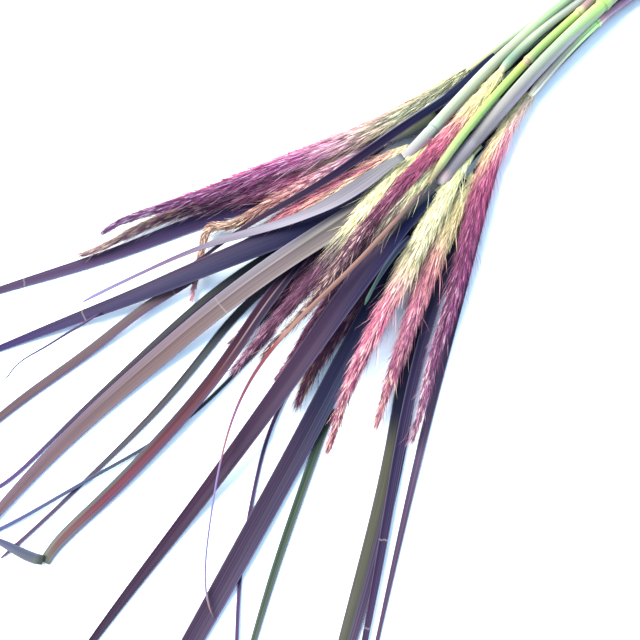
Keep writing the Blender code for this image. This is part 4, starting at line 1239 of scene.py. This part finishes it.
plumes = {
    "tanLeftPlume": {
        "node": "plume_tan_left", "slot": "plume_rose", "culm": "tanLeftCulm", "seed": 2,
        "share": 0.4, "start": 283,
        "left": [(0, 80, 88, 60), (16, 86, 86, 70), (26, 92, 72, 80), (38, 72, 34, 56),
            (52, 50, 18, 44), (62, 46, 26, 40), (72, 62, 48, 44), (100, 62, 50, 48)],
        "right": [(0, 76, 84, 56), (16, 80, 76, 60), (30, 80, 40, 58), (50, 44, 14, 40),
            (65, 34, 16, 34), (100, 46, 36, 44)],
        "flecks": [(0, 90, 93, 70), (20, 94, 86, 78), (35, 90, 74, 84), (60, 80, 66, 66),
            (75, 88, 80, 70), (100, 86, 80, 74)]},
    # Its navy foot is partly the plume's own dark foot and partly painted shade, filling a shaded
    # gap by the leaves.
    "bentPlume": {
        "node": "plume_bent", "slot": "plume_rose", "culm": "bentCulm", "seed": 3,
        "fullness": 0.72, "share": 0.45, "long": 0.75, "start": 270,
        "left": [(0, 16, 18, 28), (18, 28, 22, 32), (25, 72, 52, 64), (42, 72, 44, 52),
            (52, 60, 38, 40), (67, 56, 44, 38), (83, 66, 52, 46), (100, 80, 56, 62)],
        "flecks": [(0, 50, 54, 56), (25, 86, 80, 86), (34, 90, 84, 88), (48, 94, 82, 76),
            (65, 86, 80, 68), (83, 90, 82, 74), (100, 94, 84, 88)]},
    "salmonPlume": {
        "node": "plume_salmon", "slot": "plume_rose", "culm": "salmonCulm", "seed": 4,
        "start": 283, "foot": 0.35, "edges": (0.35, 0.8),
        "left": [(0, 93, 90, 66), (12, 88, 66, 64), (25, 82, 48, 58), (55, 80, 42, 56),
            (75, 60, 26, 40), (100, 46, 20, 34)],
        "right": [(0, 93, 92, 70), (30, 94, 86, 74), (55, 92, 74, 68), (75, 74, 42, 50),
            (100, 50, 24, 36)],
        "flecks": [(0, 97, 96, 76), (50, 98, 84, 72), (75, 86, 60, 60), (100, 80, 56, 60)]},
    "lowLeftPlume": {
        "node": "plume_low_left", "slot": "plume_plum", "culm": "lowLeftCulm", "seed": 11,
        "share": 0.34,
        "left": [(0, 20, 9, 26), (50, 24, 9, 26), (100, 26, 10, 26)],
        "flecks": [(0, 40, 20, 36), (50, 66, 36, 50), (75, 84, 66, 70), (100, 90, 80, 76)]},
    "lowRightPlume": {
        "node": "plume_low_right", "slot": "plume_plum", "culm": "lowRightCulm", "seed": 14,
        "left": [(0, 24, 11, 28), (50, 28, 12, 28), (100, 38, 14, 32)],
        "flecks": [(0, 46, 30, 40), (60, 82, 62, 60), (85, 88, 70, 46), (100, 84, 60, 70)]},
    "roseRightPlume": {
        "node": "plume_rose_right", "slot": "plume_rose", "culm": "roseRightCulm", "seed": 9,
        "share": 0.35, "start": 272, "foot": 0.2,
        "left": [(0, 88, 90, 68), (13, 93, 92, 68), (28, 94, 90, 68), (37, 92, 70, 66),
            (46, 86, 54, 62), (63, 78, 47, 62), (78, 58, 30, 46), (100, 64, 38, 46)],
        "flecks": [(0, 97, 97, 78), (30, 98, 95, 78), (40, 96, 80, 74), (60, 96, 76, 80),
            (100, 94, 84, 74)]},
    "magentaLeftPlume": {
        "node": "plume_magenta_left", "slot": "plume_burgundy", "culm": "leftSheath", "seed": 1,
        "fullness": 1.15, "edges": (0.08, 0.32),
        "left": [(0, 90, 92, 66), (12, 95, 88, 70), (24, 97, 70, 74), (50, 95, 44, 68),
            (70, 86, 38, 60), (100, 42, 22, 44)],
        "right": [(0, 56, 62, 48), (12, 58, 62, 50), (24, 70, 74, 62), (32, 84, 78, 72),
            (42, 88, 66, 78), (52, 64, 30, 56), (70, 46, 15, 40), (85, 36, 14, 38),
            (100, 34, 20, 42)],
        "flecks": [(0, 95, 95, 76), (30, 96, 90, 80), (45, 95, 84, 92), (70, 74, 56, 76),
            (100, 84, 80, 92)]},
    "paleLeftPlume": {
        "node": "plume_pale_left", "slot": "plume_burgundy", "culm": "paleCulm", "seed": 5,
        "share": 0.35, "start": 282, "foot": 0.4, "paleTo": 0.45,
        "nearer": [(0, 7.5), (0.36, 7.5), (0.54, 0)],
        "left": [(0, 86, 92, 66), (10, 93, 96, 70), (30, 96, 97, 76), (40, 84, 86, 68),
            (45.5, 48, 46, 44), (52, 26, 16, 30), (68, 30, 12, 28), (100, 36, 14, 32)],
        "flecks": [(0, 98, 99, 84), (36, 98, 99, 84), (46, 80, 78, 70), (58, 52, 32, 42),
            (80, 70, 50, 60), (100, 84, 74, 80)]},
    "strawRightPlume": {
        "node": "plume_straw_right", "slot": "plume_burgundy", "culm": "strawCulm", "seed": 7,
        "start": 280, "nearer": [(0, 6), (0.3, 6), (0.5, 0)],
        "left": [(0, 93, 96, 72), (12, 92, 94, 72), (20, 76, 78, 62), (30, 46, 44, 40),
            (42, 34, 24, 30), (60, 26, 12, 28), (100, 44, 18, 36)],
        "flecks": [(0, 97, 98, 80), (25, 88, 88, 76), (40, 84, 76, 68), (60, 66, 46, 54),
            (100, 82, 58, 68)]},
    "rightPlume": {
        "node": "plume_right", "slot": "plume_burgundy", "culm": "rightSheath", "seed": 10,
        "left": [(0, 95, 94, 68), (15, 93, 92, 68), (23, 94, 84, 66), (27, 86, 64, 62),
            (31, 66, 34, 48), (44, 48, 20, 38), (60, 38, 14, 34), (80, 42, 20, 40),
            (100, 50, 32, 44)],
        "right": [(0, 96, 92, 80), (10, 96, 80, 82), (18, 92, 62, 72), (24, 76, 38, 56),
            (33, 64, 27, 47), (48, 50, 20, 42), (70, 46, 18, 42), (100, 58, 36, 52)],
        "flecks": [(0, 98, 98, 78), (20, 94, 80, 78), (32, 70, 40, 54), (55, 68, 44, 62),
            (75, 90, 78, 86), (100, 90, 84, 84)]},
    "centrePlume": {
        "node": "plume_centre", "slot": "plume_burgundy", "culm": "centreSheath", "seed": 6,
        "fullness": 0.76, "share": 0.32, "nearer": [(0, 4), (0.2, 0)],
        "left": [(0, 95, 96, 70), (15, 96, 95, 70), (20, 95, 78, 66), (25, 90, 54, 60),
            (31, 78, 38, 52), (38, 62, 28, 44), (50, 44, 17, 33), (70, 28, 14, 26),
            (100, 28, 18, 24)],
        "flecks": [(0, 98, 98, 80), (20, 97, 84, 76), (32, 88, 54, 64), (45, 74, 46, 60),
            (60, 92, 76, 76), (80, 95, 86, 76), (100, 92, 80, 68)]},
    "pinkPlume": {
        "node": "plume_pink", "slot": "plume_rose", "culm": "pinkCulm", "seed": 8, "share": 0.45,
        "start": 4, "foot": 0.06,
        "left": [(0, 84, 94, 62), (6, 92, 96, 70), (20, 96, 98, 78), (40, 96, 96, 76),
            (47, 94, 76, 74), (56, 86, 48, 62), (70, 76, 36, 54), (85, 56, 22, 38),
            (100, 48, 22, 32)],
        "flecks": [(0, 98, 99, 84), (45, 100, 99, 88), (55, 98, 86, 86), (75, 96, 84, 84),
            (100, 88, 76, 72)]},
}

for plumeName, look in plumes.items():
    makePlume(plumeName, look)


floorMake = {"half": 4, "colour": (0.93, 0.93, 0.93, 1), "roughness": 0.9}


def makeFloor():
    bm = bmesh.new()
    bmesh.ops.create_grid(bm, x_segments=1, y_segments=1, size=floorMake["half"])
    floor = bpy.data.objects.new("floor", meshFrom(bm, "floor"))
    bpy.context.scene.collection.objects.link(floor)
    paper = bpy.data.materials.new("paper")
    paper.use_nodes = True
    surface = paper.node_tree.nodes["Principled BSDF"]
    surface.inputs["Base Color"].default_value = floorMake["colour"]
    surface.inputs["Roughness"].default_value = floorMake["roughness"]
    floor.data.materials.append(paper)


makeFloor()
